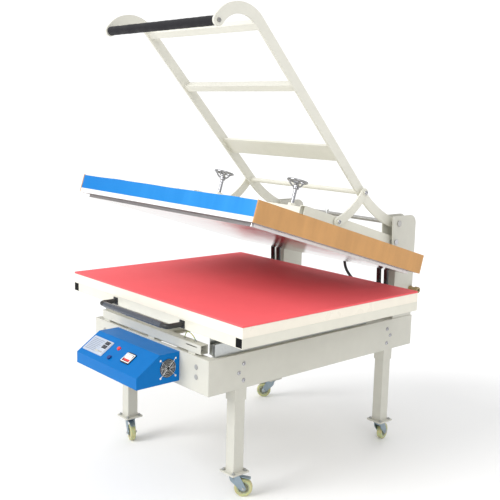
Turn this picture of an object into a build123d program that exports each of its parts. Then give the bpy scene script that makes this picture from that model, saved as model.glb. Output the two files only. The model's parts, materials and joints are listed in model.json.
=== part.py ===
"""Large-format swing-lift heat press with a drawer lower platen, on four castors.

Millimetres. X runs to the operator's right, Y to the rear, Z up from the floor. The origin is on the
floor under the middle of the machine. The press stands open, with the drawer shut.
"""
import os
from math import atan2, cos, hypot, radians, sin

from build123d import *

# ---- driving dimensions -------------------------------------------------------------------------
overall_depth = 1434.0      # control box front to base rear
platen_y = -9.5             # middle of the lower platen, ahead of the machine's middle
pad_width = 1219.2          # 48 in
pad_depth = 1016.0          # 40 in
pad_top = 782.0             # working height of the silicone pad
open_angle = 16.7           # tilt of the open heating platen, degrees

# base
base_width = 834.0
base_top = 603.0
base_height = 143.0
base_front = -517.0
base_sheet = 4.0
flange = 35.0
base_rear = overall_depth / 2
web_inner_x = base_width / 2 - base_sheet
base_bottom = base_top - base_height

# legs and castors
castor_height = 103.0
leg_size = 50.0
foot_plate_rim = 19.0       # foot plate beyond each face of the leg
foot_plate = leg_size + 2 * foot_plate_rim
foot_plate_thickness = 6.0
foot_hole_inset = 13.0
foot_hole_spacing = foot_plate - 2 * foot_hole_inset
foot_hole_radius = 4.5
leg_wall = 3.0
leg_front_y = -354.5        # centre of the front legs
leg_top = base_top - base_sheet
sleeve_wall = 4.0
sleeve_size = leg_size + 2 * sleeve_wall
sleeve_length = 50.0
leg_x = web_inner_x - leg_size / 2
bolt_head_radius = 8.0
bolt_shank_radius = 5.0
bolt_head_height = 5.0
leg_bolt_rise = 67.0        # middle of each leg's bolt pattern above the base's bottom
leg_bolt_lean = 12.0
leg_bolt_spread = 34.0
plate_corner = 6.0
top_opening_width = 16.0
top_openings = ((-185.0, 270.0), (130.0, 120.0))  # middle and length of each
end_screw_x = 338.0
end_screw_rises = (60.0, 100.0)
end_screw_radius = 5.0

# castor
wheel_radius = 37.5
wheel_width = 26.0
castor_trail = 38.0
axle_radius = 4.0
castor_plate_inset = 7.0
castor_plate = foot_plate - 2 * castor_plate_inset
castor_plate_thickness = 3.5
race_radius = 26.0
race_height = 5.0
fork_sheet = 3.0
fork_gap = 2.0              # wheel side to fork cheek
fork_crown_height = 5.0
fork_crown_radius = 27.0
kingpin_radius = 5.0
swivel_gap = 0.3
cheek_taper = 6.0
cheek_round = 9.0
pedal_pin_radius = 3.0
pedal_drop = 12.5           # pedal pin below the top of the fork
pedal_pin_trail = -2.0
axle_overhang = 3.0
axle_nut_step = 3.0
axle_nut_height = 4.0
tyre_round = 6.0
pedal_width = 22.0
pedal_length = 52.0
castor_angles = {"front_left": -20.0, "front_right": 47.0, "rear_left": -133.0, "rear_right": 104.0}

# posts
post_width = 66.0
post_sheet = 5.0
post_front_y = 576.5
leg_post_gap = 3.0
leg_rear_y = post_front_y - leg_post_gap - leg_size / 2
post_rear_gap = 4.5
post_rear_y = base_rear - post_rear_gap
post_top = 1090.0
post_ear_y = 540.0          # front of the ears that carry the pivots
post_corner_radius = 42.0
ear_bottom_drop = 45.0      # start of the ears below the beam pivot
ear_slope_drop = 18.0       # end of the ears' sloping edge below the beam pivot
ear_lean = 8.0
ear_corner = 12.0
ear_tip_corner = 8.0
front_web_drop = 70.0
shaft_head_step = 4.0
shaft_head_height = 5.0
pivot_nut_step = 5.0
pivot_nut_height = 6.0
lug_half = 4.0
pin_overhang = 3.0
gland_spot = (694.0, 735.0)
gland_hexagon = 15.0
gland_hexagon_length = 8.0
gland_body_radius = 11.0
gland_body_length = 24.0
gland_cap_radius = 14.0
gland_cap_length = 20.0
gland_bore = 6.0
post_outer_x = web_inner_x
post_inner_x = post_outer_x - post_width

# pivots in the Y-Z plane
arm_pivot = (586.5, 1055.0)
beam_pivot = (568.5, 970.0)
crank_reach = 275.0         # arm pivot to link pivot
crank_rise = 33.29          # angle of that line above horizontal, degrees
link_pivot_on_beam = (191.0, 1087.0)
link_pivot = (
    arm_pivot[0] - crank_reach * cos(radians(crank_rise)),
    arm_pivot[1] + crank_reach * sin(radians(crank_rise)),
)
running = 0.05              # radial clearance of a pin in its hole
open_pivot_clearance = 1.2  # radial clearance of the link's lower hole

# handle
arm_thickness = 10.0
arm_width = 45.0
arm_inset = 19.0            # arm's inner face outside the post's
arm_inner_x = post_inner_x + arm_inset
arm_slope = 47.2            # straight arm below horizontal, degrees
arm_straight = 922.0        # link pivot to the start of the hook
hook_radius = 127.0
hook_sweep = 103.0
shaft_radius = 10.0
grip_radius = 19.0
grip_end_gap = 1.0
grip_foam = 7.0
grip_tube_wall = 3.0
grip_nut_radius = 9.0
grip_nut_height = 5.0
link_tube_radius = 11.0
bar_size = 30.0
bar_wall = 2.0
upper_bar_from_hook = 14.0
middle_bar_from_hook = 315.0
wide_bar_from_hook = 683.0
wide_bar_height = 88.0
wide_bar_thickness = 12.0

# beams of the lifting frame, seen level with the beam pivot at (0, 0)
beam_width = 30.0
beam_height = 50.0
beam_wall = 3.0
beam_side_gap = 3.0         # beam to the inside of the post's plate
beam_inner_x = post_inner_x + post_sheet + beam_side_gap
beam_front = -600.0
beam_rear = 28.0
beam_pin_radius = 8.0
stud_radius = 6.0
link_thickness = 8.0
link_width = 40.0
link_gap = 13.0             # arm to link
link_inner_x = arm_inner_x + arm_thickness + link_gap
link_bow = 16.0
boss_step = 6.0             # wall of the pivot bosses and collars round their pins
collar_step = 5.0
stud_head_height = 6.0
side_gap = 1.0              # between pieces that turn face to face
rear_bar_inset = 168.0      # rear cross bar ahead of the beams' rear ends
nut_radius = 18.0
nut_height = 14.0

# heating platen, seen level with the beam pivot at (0, 0)
cover_width = 1230.0
cover_depth = 1024.0
cover_height = 83.5
cover_bottom = -124.9       # below the beam pivot
cover_rear = -38.5          # ahead of the beam pivot
cover_sheet = 2.0
board_thickness = 6.0
trim_height = 20.0
trim_width = 25.0
plate_thickness = 26.0
plate_projection = 14.0
plate_gap = 6.0
blanket_thickness = 30.0
element_radius = 5.0
element_clearance = 0.5
element_count = 6
groove_pitch = 150.0
groove_inset = 80.0
element_inset = 8.0
plate_corner_radius = 8.0
collar_height = 14.0
collar_radius = 22.0

# handwheels
handwheel_x = 252.0
handwheel_radius = 48.0
handwheel_rise = 174.0      # rim above the cover
handwheel_dish = 26.0       # hub below the rim
rim_radius = 5.0
hub_radius = 14.0
hub_height = 22.0
spoke_width = 9.0
spoke_thickness = 5.0
spoke_turns = (90, 210, 330)
screw_radius = 8.0
cross_bar_width = 60.0
cross_bar_height = 40.0

# lower platen
pad_thickness = 8.0
slab_thickness = 40.0
tube = 40.0
tube_wall = 2.5
plug_depth = 12.0
table_sheet = 6.0
table_rib = 8.0
table_cells = (4, 3)
pad_corner = 3.0
slab_top = pad_top - pad_thickness
tray_top = slab_top - slab_thickness
tray_bottom = tray_top - tube
tray_front = platen_y - pad_depth / 2
tray_rear = platen_y + pad_depth / 2
handle_span = 490.0
handle_reach = 75.0
handle_bar_radius = 11.0
handle_corner = 20.0
handle_rise = 18.0
handle_foot = 32.0
handle_foot_thickness = 6.0

# drawer slides
slide_length = 880.0
slide_front = base_front + 42.0
slide_height = 53.0
slide_sheet = 3.0
slide_step = 6.0
slide_gap = 0.5
slide_lip = 7.0
slide_bottom = base_top
slide_inset = 13.0          # inside the side plate's web
slide_outer_x = web_inner_x - slide_inset
front_beam_inset = 40.0
front_beam_half_length = slide_outer_x - front_beam_inset
front_beam_size = 36.0
front_beam_lift = 10.0
front_beam_wall = 2.5
front_beam_setback = 3.0
front_beam_feet = (-330.0, 20.0, 300.0)
front_beam_foot_length = 44.0
front_beam_slot_length = 70.0
front_beam_slot_height = 4.0
front_beam_slot_rise = 24.0
front_beam_slot_inset = 60.0
slide_bracket = 30.0

# control box
box_width = 455.0
box_depth = overall_depth / 2 + base_front
box_bottom = 477.0
box_top = 597.0
box_front_height = 47.0
box_top_depth = 93.0
box_sheet = 2.0
box_front = base_front - box_depth
fan_size = 80.0
fan_depth = 25.0
fan_bore = 38.0
fan_y = -571.5
fan_z = 538.0
fan_hole_spacing = 71.5
fan_hub_radius = 16.0
fan_blades = 7
fan_blade_pitch = 38.0
fan_blade_chord = 20.0
fan_blade_thickness = 1.6
fan_arm = 4.0
fan_corner = 5.0
rotor_clearance = 1.0
guard_wire = 1.6
guard_thickness = 2.5
guard_rings = (8.0, 17.0, 26.0, 35.0)
guard_screw_radius = 4.0
panel_width = 148.0
panel_height = 78.0
panel_x = -140.0
key_size = 12.0
key_pitch = 18.0
rocker_x = 90.0
rocker_width = 44.0
rocker_height = 34.0
bezel_width = 56.0
bezel_height = 52.0
button_radius = 8.0
lamp_radius = 9.0
lamp_x = -11.0
lamp_height = 6.0
lamp_depth = 18.0
button_x = -14.0
button_height = 5.0
button_travel = 2.2
button_cap_step = 1.5
button_cap_height = 4.0
control_corner = 4.0
panel_thickness = 3.0
panel_drop = 0.52           # middles of the controls down the slope, as shares of its length
rocker_drop = 0.51
lamp_drop = 0.33
button_drop = 0.74
housing_offset = 38.0
housing_size = 58.0
housing_depth = 60.0
keys_below = 24.0
key_height = 8.4
key_depth = 5.0
key_clearance = 0.3
key_stand = 2.2
bezel_rise = 5.0
bezel_wall = 2.0
rocker_well = 14.0
rocker_floor = 6.0
rocker_edge = 9.0           # raised end of the paddle above the slope
rocker_middle = 5.5
rocker_low = 3.0
rocker_root = 4.0
rocker_depth = 6.0
rocker_clearance = 0.5
rocker_pin_radius = 2.5
rocker_pin_end = 0.5        # pin's end short of the bezel's outer face

# gas springs
strut_x = beam_inner_x + beam_width / 2
strut_offset = 22.0
strut_foot = (545.0, 640.0)
strut_head = (-24.0, -40.0)  # on the level lifting frame, from the beam pivot
strut_radius = 11.5
strut_length = 235.0
rod_radius = 5.0
strut_eye_radius = 9.0
strut_eye_width = 12.0
strut_pin_radius = 5.0
strut_floor = 24.0          # closed end of the cylinders above the foot pin
rod_start = 60.0
rod_eye_clearance = 0.6

os.makedirs("parts", exist_ok=True)


def save(part, name):
    """Label a finished piece and write it."""
    part.label = name
    export_step(part, f"parts/{name}.step")


def side_plane(x):
    """Plane across the machine at x: local x runs to the rear, local y up, facing +X."""
    return Plane(origin=(x, 0, 0), x_dir=(0, 1, 0), z_dir=(1, 0, 0))


# Frame of the lifting frame: origin on the beam pivot, y down the slope to the rear, z out of the platen.
lift = Plane(
    origin=(0, beam_pivot[0], beam_pivot[1]),
    x_dir=(1, 0, 0),
    z_dir=(0, sin(radians(open_angle)), cos(radians(open_angle))),
)


def lift_plane(y, z):
    """Plane parallel to the platen, through the point (y, z) of the lifting frame."""
    return Plane(origin=lift.from_local_coords(Vector(0, y, z)), x_dir=lift.x_dir, z_dir=lift.z_dir)


def lift_side(x):
    """Plane across the lifting frame at x, with its origin on the beam pivot."""
    origin = lift.from_local_coords(Vector(x, 0, 0))
    return Plane(origin=origin, x_dir=lift.y_dir, z_dir=(1, 0, 0))


# ---- base ---------------------------------------------------------------------------------------
# Two folded side plates. Their flanges are cut away where the legs and the posts pass.
with BuildPart() as base_side_plates:
    for side in (-1, 1):
        web_x = side * (base_width / 2 - base_sheet / 2)
        flange_x = side * (base_width / 2 - flange / 2)
        mid_y = (base_front + base_rear) / 2
        with Locations((web_x, mid_y, base_bottom + base_height / 2)):
            Box(base_sheet, base_rear - base_front, base_height)
        for z in (base_bottom + base_sheet / 2, base_top - base_sheet / 2):
            with Locations((flange_x, mid_y, z)):
                Box(flange, base_rear - base_front - 2 * base_sheet, base_sheet)
        leg_cuts = [(side * leg_x, y, base_bottom) for y in (leg_front_y, leg_rear_y)]
        with Locations(*leg_cuts):
            Box(leg_size, leg_size, 4 * base_sheet, mode=Mode.SUBTRACT)
        post_x = side * (post_outer_x - post_width / 2)
        post_length = base_rear - base_sheet - post_front_y
        with Locations((post_x, post_front_y + post_length / 2, base_top)):
            Box(post_width, post_length, 4 * base_sheet, mode=Mode.SUBTRACT)
        bolt_spots = []
        for y, lean in ((leg_front_y, -leg_bolt_lean), (leg_rear_y, leg_bolt_lean)):
            for dy, dz in ((lean, 0), (-lean, leg_bolt_spread), (-lean, -leg_bolt_spread)):
                bolt_spots.append((y + dy, base_bottom + leg_bolt_rise + dz))
        with BuildSketch(side_plane(web_x)):
            with Locations(*bolt_spots):
                Circle(bolt_shank_radius)
        extrude(amount=2 * base_sheet, both=True, mode=Mode.SUBTRACT)
save(base_side_plates.part, "base_side_plates")

# The front and rear plates, between the side plates. The front one's top flange has two openings.
with BuildPart() as base_end_plates:
    inner_width = base_width - 2 * base_sheet
    for y, inward in ((base_front, 1), (base_rear, -1)):
        with Locations((0, y + inward * base_sheet / 2, base_bottom + base_height / 2)):
            Box(inner_width, base_sheet, base_height)
        flange_width = base_width - 2 * flange
        if inward < 0:
            flange_width = 2 * post_inner_x
        with Locations((0, y + inward * flange / 2, base_top - base_sheet / 2)):
            Box(flange_width, flange, base_sheet)
        with Locations((0, y + inward * flange / 2, base_bottom + base_sheet / 2)):
            Box(base_width - 2 * flange, flange, base_sheet)
    for x, length in top_openings:
        with Locations((x, base_front + flange / 2, base_top)):
            Box(length, top_opening_width, 4 * base_sheet, mode=Mode.SUBTRACT)
    with BuildSketch(Plane.XZ.offset(-base_front)):
        for rise in end_screw_rises:
            with Locations((end_screw_x, base_bottom + rise), (-end_screw_x, base_bottom + rise)):
                Circle(end_screw_radius)
    extrude(amount=-2 * base_sheet, mode=Mode.SUBTRACT)
save(base_end_plates.part, "base_end_plates")

# Four square-tube legs, each with a welded foot plate and a sleeve under the base.
leg_spots = {
    "front_left": (-leg_x, leg_front_y),
    "front_right": (leg_x, leg_front_y),
    "rear_left": (-leg_x, leg_rear_y),
    "rear_right": (leg_x, leg_rear_y),
}
foot_top = castor_height + foot_plate_thickness
with BuildPart() as legs:
    with BuildSketch(Plane.XY.offset(foot_top)):
        with Locations(*leg_spots.values()):
            Rectangle(leg_size, leg_size)
            Rectangle(leg_size - 2 * leg_wall, leg_size - 2 * leg_wall, mode=Mode.SUBTRACT)
    extrude(amount=leg_top - foot_top)
    with BuildSketch(Plane.XY.offset(castor_height)):
        with Locations(*leg_spots.values()):
            RectangleRounded(foot_plate, foot_plate, plate_corner)
    extrude(amount=foot_plate_thickness)
    with BuildSketch(Plane.XY.offset(castor_height)):
        for spot in leg_spots.values():
            with Locations(spot):
                with GridLocations(foot_hole_spacing, foot_hole_spacing, 2, 2):
                    Circle(foot_hole_radius)
    extrude(amount=foot_plate_thickness, mode=Mode.SUBTRACT)
    with BuildSketch(Plane.XY.offset(base_bottom)):
        with Locations(*leg_spots.values()):
            Rectangle(sleeve_size, sleeve_size)
            Rectangle(leg_size, leg_size, mode=Mode.SUBTRACT)
    extrude(amount=-sleeve_length)
save(legs.part, "legs")

# Dome-headed bolts, three through the side plate into each leg.
with BuildPart() as leg_bolts:
    for side in (-1, 1):
        face_x = side * base_width / 2
        for spot in bolt_spots:
            with BuildSketch(side_plane(face_x)):
                with Locations(spot):
                    Circle(bolt_head_radius)
            extrude(amount=side * bolt_head_height, taper=25)
            with BuildSketch(side_plane(face_x)):
                with Locations(spot):
                    Circle(bolt_shank_radius)
            extrude(amount=-side * base_sheet)
save(leg_bolts.part, "leg_bolts")

# ---- posts --------------------------------------------------------------------------------------
# Each post is a folded box, open to the front and top between two eared plates.
with BuildPart() as posts:
    for side in (-1, 1):
        for plate_x in (post_outer_x, post_inner_x + post_sheet):
            with BuildSketch(side_plane(side * plate_x)):
                with BuildLine():
                    FilletPolyline(
                        (post_front_y, base_bottom + base_sheet),
                        (post_front_y, beam_pivot[1] - ear_bottom_drop),
                        (post_ear_y + ear_lean, beam_pivot[1] - ear_slope_drop),
                        (post_ear_y, post_top),
                        (post_rear_y, post_top),
                        (post_rear_y, base_bottom + base_sheet),
                        radius=(ear_corner, ear_corner, ear_tip_corner, post_corner_radius),
                    )
                    Line(
                        (post_rear_y, base_bottom + base_sheet),
                        (post_front_y, base_bottom + base_sheet),
                    )
                make_face()
                with Locations(arm_pivot):
                    Circle(shaft_radius, mode=Mode.SUBTRACT)
                with Locations(beam_pivot):
                    Circle(beam_pin_radius, mode=Mode.SUBTRACT)
            extrude(amount=-side * post_sheet)
        web_width = post_width - 2 * post_sheet
        web_x = side * (post_outer_x - post_width / 2)
        front_web_top = beam_pivot[1] - front_web_drop
        web_height = front_web_top - base_bottom - base_sheet
        with Locations((web_x, post_front_y + post_sheet / 2, base_bottom + base_sheet + web_height / 2)):
            Box(web_width, post_sheet, web_height)
        rear_web_top = post_top - post_corner_radius
        web_height = rear_web_top - base_bottom - base_sheet
        with Locations((web_x, post_rear_y - post_sheet / 2, base_bottom + base_sheet + web_height / 2)):
            Box(web_width, post_sheet, web_height)
        # welded lug and cross pin that the gas springs stand on
        with BuildSketch(side_plane(side * strut_x)):
            with Locations(((strut_foot[0] + post_front_y) / 2, strut_foot[1])):
                Rectangle(post_front_y - strut_foot[0], 2 * strut_eye_radius)
            with Locations(strut_foot):
                Circle(strut_eye_radius)
        extrude(amount=lug_half, both=True)
        with BuildSketch(side_plane(side * strut_x)):
            with Locations(strut_foot):
                Circle(strut_pin_radius)
        extrude(amount=strut_offset + strut_eye_width / 2 + pin_overhang, both=True)
save(posts.part, "posts")

# Shaft through both posts that the handle arms swing on, with a round head outside each post.
with BuildPart() as arm_pivot_shaft:
    with BuildSketch(side_plane(-post_outer_x)):
        with Locations(arm_pivot):
            Circle(shaft_radius)
    extrude(amount=2 * post_outer_x)
    for side in (-1, 1):
        with BuildSketch(side_plane(side * post_outer_x)):
            with Locations(arm_pivot):
                Circle(shaft_radius + shaft_head_step)
        extrude(amount=side * shaft_head_height)
save(arm_pivot_shaft.part, "arm_pivot_shaft")

# Bolts through each post that the beams tilt on.
with BuildPart() as beam_pivot_bolts:
    for side in (-1, 1):
        with BuildSketch(side_plane(side * post_inner_x)):
            with Locations(beam_pivot):
                Circle(beam_pin_radius)
        extrude(amount=side * post_width)
        for x, direction in ((post_outer_x, side), (post_inner_x, -side)):
            with BuildSketch(side_plane(side * x)):
                with Locations(beam_pivot):
                    RegularPolygon(beam_pin_radius + pivot_nut_step, 6)
            extrude(amount=direction * pivot_nut_height)
save(beam_pivot_bolts.part, "beam_pivot_bolts")

# Brass cable gland on the outside of the right post.
with BuildPart() as cable_gland:
    with BuildSketch(side_plane(post_outer_x)):
        with Locations(gland_spot):
            RegularPolygon(gland_hexagon, 6)
    extrude(amount=gland_hexagon_length)
    with BuildSketch(side_plane(post_outer_x + gland_hexagon_length)):
        with Locations(gland_spot):
            Circle(gland_body_radius)
    extrude(amount=gland_body_length)
    with BuildSketch(side_plane(post_outer_x + gland_hexagon_length + gland_body_length)):
        with Locations(gland_spot):
            Circle(gland_cap_radius)
            Circle(gland_bore, mode=Mode.SUBTRACT)
    extrude(amount=gland_cap_length)
save(cable_gland.part, "cable_gland")

# Square tube across the front of the base, under the drawer, on three short feet.
front_beam_bottom = base_top + front_beam_lift
front_beam_y = base_front + front_beam_setback + front_beam_size / 2
with BuildPart() as front_cross_beam:
    with BuildSketch(Plane.YZ.offset(-front_beam_half_length)):
        with Locations((front_beam_y, front_beam_bottom + front_beam_size / 2)):
            Rectangle(front_beam_size, front_beam_size)
            Rectangle(
                front_beam_size - 2 * front_beam_wall,
                front_beam_size - 2 * front_beam_wall,
                mode=Mode.SUBTRACT,
            )
    extrude(amount=2 * front_beam_half_length)
    with Locations(*[(x, front_beam_y, base_top + front_beam_lift / 2) for x in front_beam_feet]):
        Box(front_beam_foot_length, front_beam_size - 2 * front_beam_wall, front_beam_lift)
    slot_x = front_beam_half_length - front_beam_slot_inset
    with Locations((slot_x, base_front + front_beam_setback, front_beam_bottom + front_beam_slot_rise)):
        Box(front_beam_slot_length, 2 * front_beam_wall, front_beam_slot_height, mode=Mode.SUBTRACT)
save(front_cross_beam.part, "front_cross_beam")


# ---- drawer slides ------------------------------------------------------------------------------
def slide_member(step):
    """Outer face, bottom and top of a slide's channel, by how deep it is nested."""
    outer = slide_outer_x - step * slide_step
    low = slide_bottom + step * (slide_sheet + slide_gap)
    high = slide_bottom + slide_height - step * (slide_sheet + slide_gap)
    return outer, low, high


with BuildPart() as slide_outer_members:
    for side in (-1, 1):
        outer, low, high = slide_member(0)
        with Locations((side * (outer - slide_sheet / 2), slide_front + slide_length / 2, (low + high) / 2)):
            Box(slide_sheet, slide_length, high - low)
        for z in (low + slide_sheet / 2, high - slide_sheet / 2):
            with Locations((side * (outer - slide_lip), slide_front + slide_length / 2, z)):
                Box(2 * slide_lip, slide_length, slide_sheet)
save(slide_outer_members.part, "slide_outer_members")

with BuildPart() as slide_middle_members:
    for side in (-1, 1):
        outer, low, high = slide_member(1)
        with Locations((side * (outer - slide_sheet / 2), slide_front + slide_length / 2, (low + high) / 2)):
            Box(slide_sheet, slide_length, high - low)
        for z in (low + slide_sheet / 2, high - slide_sheet / 2):
            with Locations((side * (outer - slide_lip), slide_front + slide_length / 2, z)):
                Box(2 * slide_lip, slide_length, slide_sheet)
save(slide_middle_members.part, "slide_middle_members")

# The inner members carry the angle brackets that the tray is bolted to.
with BuildPart() as slide_inner_members:
    for side in (-1, 1):
        outer, low, high = slide_member(2)
        inner_x = outer - 2 * slide_lip - slide_step
        with Locations((side * (outer + inner_x) / 2, slide_front + slide_length / 2, (low + high) / 2)):
            Box(outer - inner_x, slide_length, high - low)
        bracket_x = inner_x - slide_sheet
        web_x = side * (inner_x - slide_sheet / 2)
        with Locations((web_x, slide_front + slide_length / 2, (low + tray_bottom) / 2)):
            Box(slide_sheet, slide_length, tray_bottom - low)
        flange_x = side * (bracket_x + slide_bracket / 2)
        with Locations((flange_x, slide_front + slide_length / 2, tray_bottom - slide_sheet / 2)):
            Box(slide_bracket, slide_length, slide_sheet)
save(slide_inner_members.part, "slide_inner_members")

# ---- lower platen -------------------------------------------------------------------------------
# Welded square-tube frame. The side tubes run through to the front, the others butt on them.
rail_tube_x = slide_outer_x - 3 * slide_step - slide_lip - 4
with BuildPart() as tray_frame:
    tube_z = tray_bottom + tube / 2
    tube_centres = [side * (pad_width / 2 - tube / 2) for side in (-1, 1)]
    with BuildSketch(Plane.XZ.offset(-tray_front)):
        with Locations(*[(x, tube_z) for x in tube_centres]):
            Rectangle(tube, tube)
            Rectangle(tube - 2 * tube_wall, tube - 2 * tube_wall, mode=Mode.SUBTRACT)
    extrude(amount=-pad_depth)
    with BuildSketch(Plane.YZ.offset(-pad_width / 2 + tube)):
        for y in (tray_front + tube / 2, tray_rear - tube / 2):
            with Locations((y, tube_z)):
                Rectangle(tube, tube)
                Rectangle(tube - 2 * tube_wall, tube - 2 * tube_wall, mode=Mode.SUBTRACT)
    extrude(amount=pad_width - 2 * tube)
    with BuildSketch(Plane.XZ.offset(-tray_front - tube)):
        for x in (-rail_tube_x, 0, rail_tube_x):
            with Locations((x, tube_z)):
                Rectangle(tube, tube)
                Rectangle(tube - 2 * tube_wall, tube - 2 * tube_wall, mode=Mode.SUBTRACT)
    extrude(amount=-(pad_depth - 2 * tube))
save(tray_frame.part, "tray_frame")

# Black plastic plugs in the four open ends of the side tubes.
with BuildPart() as tray_end_plugs:
    for y, outward in ((tray_front, -1), (tray_rear, 1)):
        with Locations(*[(x, y - outward * plug_depth / 2, tube_z) for x in tube_centres]):
            Box(tube - 2 * tube_wall, plug_depth, tube - 2 * tube_wall)
save(tray_end_plugs.part, "tray_end_plugs")

# Flat table under the pad: a sheet with a skirt and ribs below it, open to the tray frame.
cell_pitch_x = pad_width / table_cells[0]
cell_pitch_y = pad_depth / table_cells[1]
with BuildPart() as platen_table:
    with Locations((0, platen_y, tray_top + slab_thickness / 2)):
        Box(pad_width, pad_depth, slab_thickness)
    with BuildSketch(Plane.XY.offset(tray_top)):
        with Locations((0, platen_y)):
            with GridLocations(cell_pitch_x, cell_pitch_y, *table_cells):
                Rectangle(cell_pitch_x - table_rib, cell_pitch_y - table_rib)
    extrude(amount=slab_thickness - table_sheet, mode=Mode.SUBTRACT)
save(platen_table.part, "platen_table")

with BuildPart() as silicone_pad:
    with BuildSketch(Plane.XY.offset(slab_top)):
        with Locations((0, platen_y)):
            RectangleRounded(pad_width, pad_depth, pad_corner)
    extrude(amount=pad_thickness)
save(silicone_pad.part, "silicone_pad")

# U-shaped pull handle on the front of the tray, with a flat foot at each end.
handle_z = tray_bottom + handle_rise
handle_start = tray_front - handle_foot_thickness
with BuildPart() as drawer_handle:
    with BuildLine(Plane.XY.offset(handle_z)) as handle_path:
        FilletPolyline(
            (-handle_span / 2, handle_start),
            (-handle_span / 2, tray_front - handle_reach),
            (handle_span / 2, tray_front - handle_reach),
            (handle_span / 2, handle_start),
            radius=handle_corner,
        )
    with BuildSketch(Plane(origin=(-handle_span / 2, handle_start, handle_z), z_dir=(0, -1, 0))):
        Circle(handle_bar_radius)
    sweep(path=handle_path.line)
    feet_y = tray_front - handle_foot_thickness / 2
    with Locations(*[(side * handle_span / 2, feet_y, handle_z) for side in (-1, 1)]):
        Box(handle_foot, handle_foot_thickness, handle_foot)
save(drawer_handle.part, "drawer_handle")

# ---- control box --------------------------------------------------------------------------------
slope_top = (base_front - box_top_depth, box_top)
slope_foot = (box_front, box_bottom + box_front_height)
slope_length = hypot(slope_top[0] - slope_foot[0], slope_top[1] - slope_foot[1])
slope_angle = atan2(slope_top[1] - slope_foot[1], slope_top[0] - slope_foot[0])
slope_normal = (0, -sin(slope_angle), cos(slope_angle))


def slope_plane(height=0.0):
    """The sloping face: x to the right, y up the slope from its top edge, raised by a height."""
    y = slope_top[0] - sin(slope_angle) * height
    z = slope_top[1] + cos(slope_angle) * height
    return Plane(origin=(0, y, z), x_dir=(1, 0, 0), z_dir=slope_normal)


panel_v = -panel_drop * slope_length
rocker_v = -rocker_drop * slope_length
lamp_v = -lamp_drop * slope_length
button_v = -button_drop * slope_length
housing_x = panel_x + housing_offset
key_spots = [(housing_x + (i - 1) * key_pitch, panel_v - keys_below) for i in range(3)]


def box_outline(inset):
    """Outline of the control box in Y and Z, stepped in from the sheet's outer face."""
    slant = inset * (1 - cos(slope_angle)) / sin(slope_angle)
    foot_slant = inset * (1 - sin(slope_angle)) / cos(slope_angle)
    Polyline(
        (base_front, box_bottom + inset),
        (box_front + inset, box_bottom + inset),
        (box_front + inset, slope_foot[1] - foot_slant),
        (slope_top[0] + slant, box_top - inset),
        (base_front, box_top - inset),
        close=True,
    )


with BuildPart() as control_box_shell:
    with BuildSketch(Plane.YZ.offset(-box_width / 2)):
        with BuildLine():
            box_outline(0)
        make_face()
    extrude(amount=box_width)
    with BuildSketch(Plane.YZ.offset(-box_width / 2 + box_sheet)):
        with BuildLine():
            box_outline(box_sheet)
        make_face()
    extrude(amount=box_width - 2 * box_sheet, mode=Mode.SUBTRACT)
    with BuildSketch(Plane.YZ.offset(box_width / 2 - 2 * box_sheet)):
        with Locations((fan_y, fan_z)):
            Circle(fan_bore)
    extrude(amount=4 * box_sheet, mode=Mode.SUBTRACT)
    with BuildSketch(slope_plane()):
        with Locations((housing_x, panel_v)):
            Rectangle(housing_size, housing_size)
        with Locations((rocker_x, rocker_v)):
            Rectangle(rocker_width + 2 * bezel_wall, rocker_height + 2 * bezel_wall)
        with Locations((lamp_x, lamp_v)):
            Circle(lamp_radius - box_sheet)
        with Locations((button_x, button_v)):
            Circle(button_radius)
    extrude(amount=2 * box_sheet, both=True, mode=Mode.SUBTRACT)
save(control_box_shell.part, "control_box_shell")

# Controller: a flat panel on the slope, with its housing behind and three key wells.
with BuildPart() as temperature_controller:
    with BuildSketch(slope_plane()):
        with Locations((panel_x, panel_v)):
            RectangleRounded(panel_width, panel_height, control_corner)
    extrude(amount=panel_thickness)
    with BuildSketch(slope_plane()):
        with Locations((housing_x, panel_v)):
            Rectangle(housing_size, housing_size)
    extrude(amount=-housing_depth)
    with BuildSketch(slope_plane(panel_thickness)):
        with Locations(*key_spots):
            Rectangle(key_size, key_height)
    extrude(amount=-panel_thickness - key_depth, mode=Mode.SUBTRACT)
save(temperature_controller.part, "temperature_controller")

for name, spot in zip(("set_key", "down_key", "up_key"), key_spots):
    with BuildPart() as key:
        with BuildSketch(slope_plane()):
            with Locations(spot):
                Rectangle(key_size - 2 * key_clearance, key_height - 2 * key_clearance)
        extrude(amount=panel_thickness + key_stand)
    save(key.part, name)

# Power switch: a bezel with a well, and a paddle that rocks in it.
rocker_plane = Plane(
    origin=slope_plane().from_local_coords(Vector(rocker_x, rocker_v, 0)),
    x_dir=slope_plane().y_dir,
    z_dir=(1, 0, 0),
)
with BuildPart() as switch_bezel:
    with BuildSketch(slope_plane()):
        with Locations((rocker_x, rocker_v)):
            RectangleRounded(bezel_width, bezel_height, control_corner)
    extrude(amount=bezel_rise)
    with BuildSketch(slope_plane()):
        with Locations((rocker_x, rocker_v)):
            Rectangle(rocker_width + 2 * bezel_wall, rocker_height + 2 * bezel_wall)
    extrude(amount=-rocker_well - rocker_floor)
    with BuildSketch(slope_plane(bezel_rise)):
        with Locations((rocker_x, rocker_v)):
            Rectangle(rocker_width, rocker_height)
    extrude(amount=-bezel_rise - rocker_well, mode=Mode.SUBTRACT)
    with BuildSketch(rocker_plane):
        Circle(rocker_pin_radius + running)
    pin_half = rocker_width / 2 + bezel_wall - rocker_pin_end
    extrude(amount=pin_half + rocker_pin_end / 2, both=True, mode=Mode.SUBTRACT)
save(switch_bezel.part, "switch_bezel")

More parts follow.
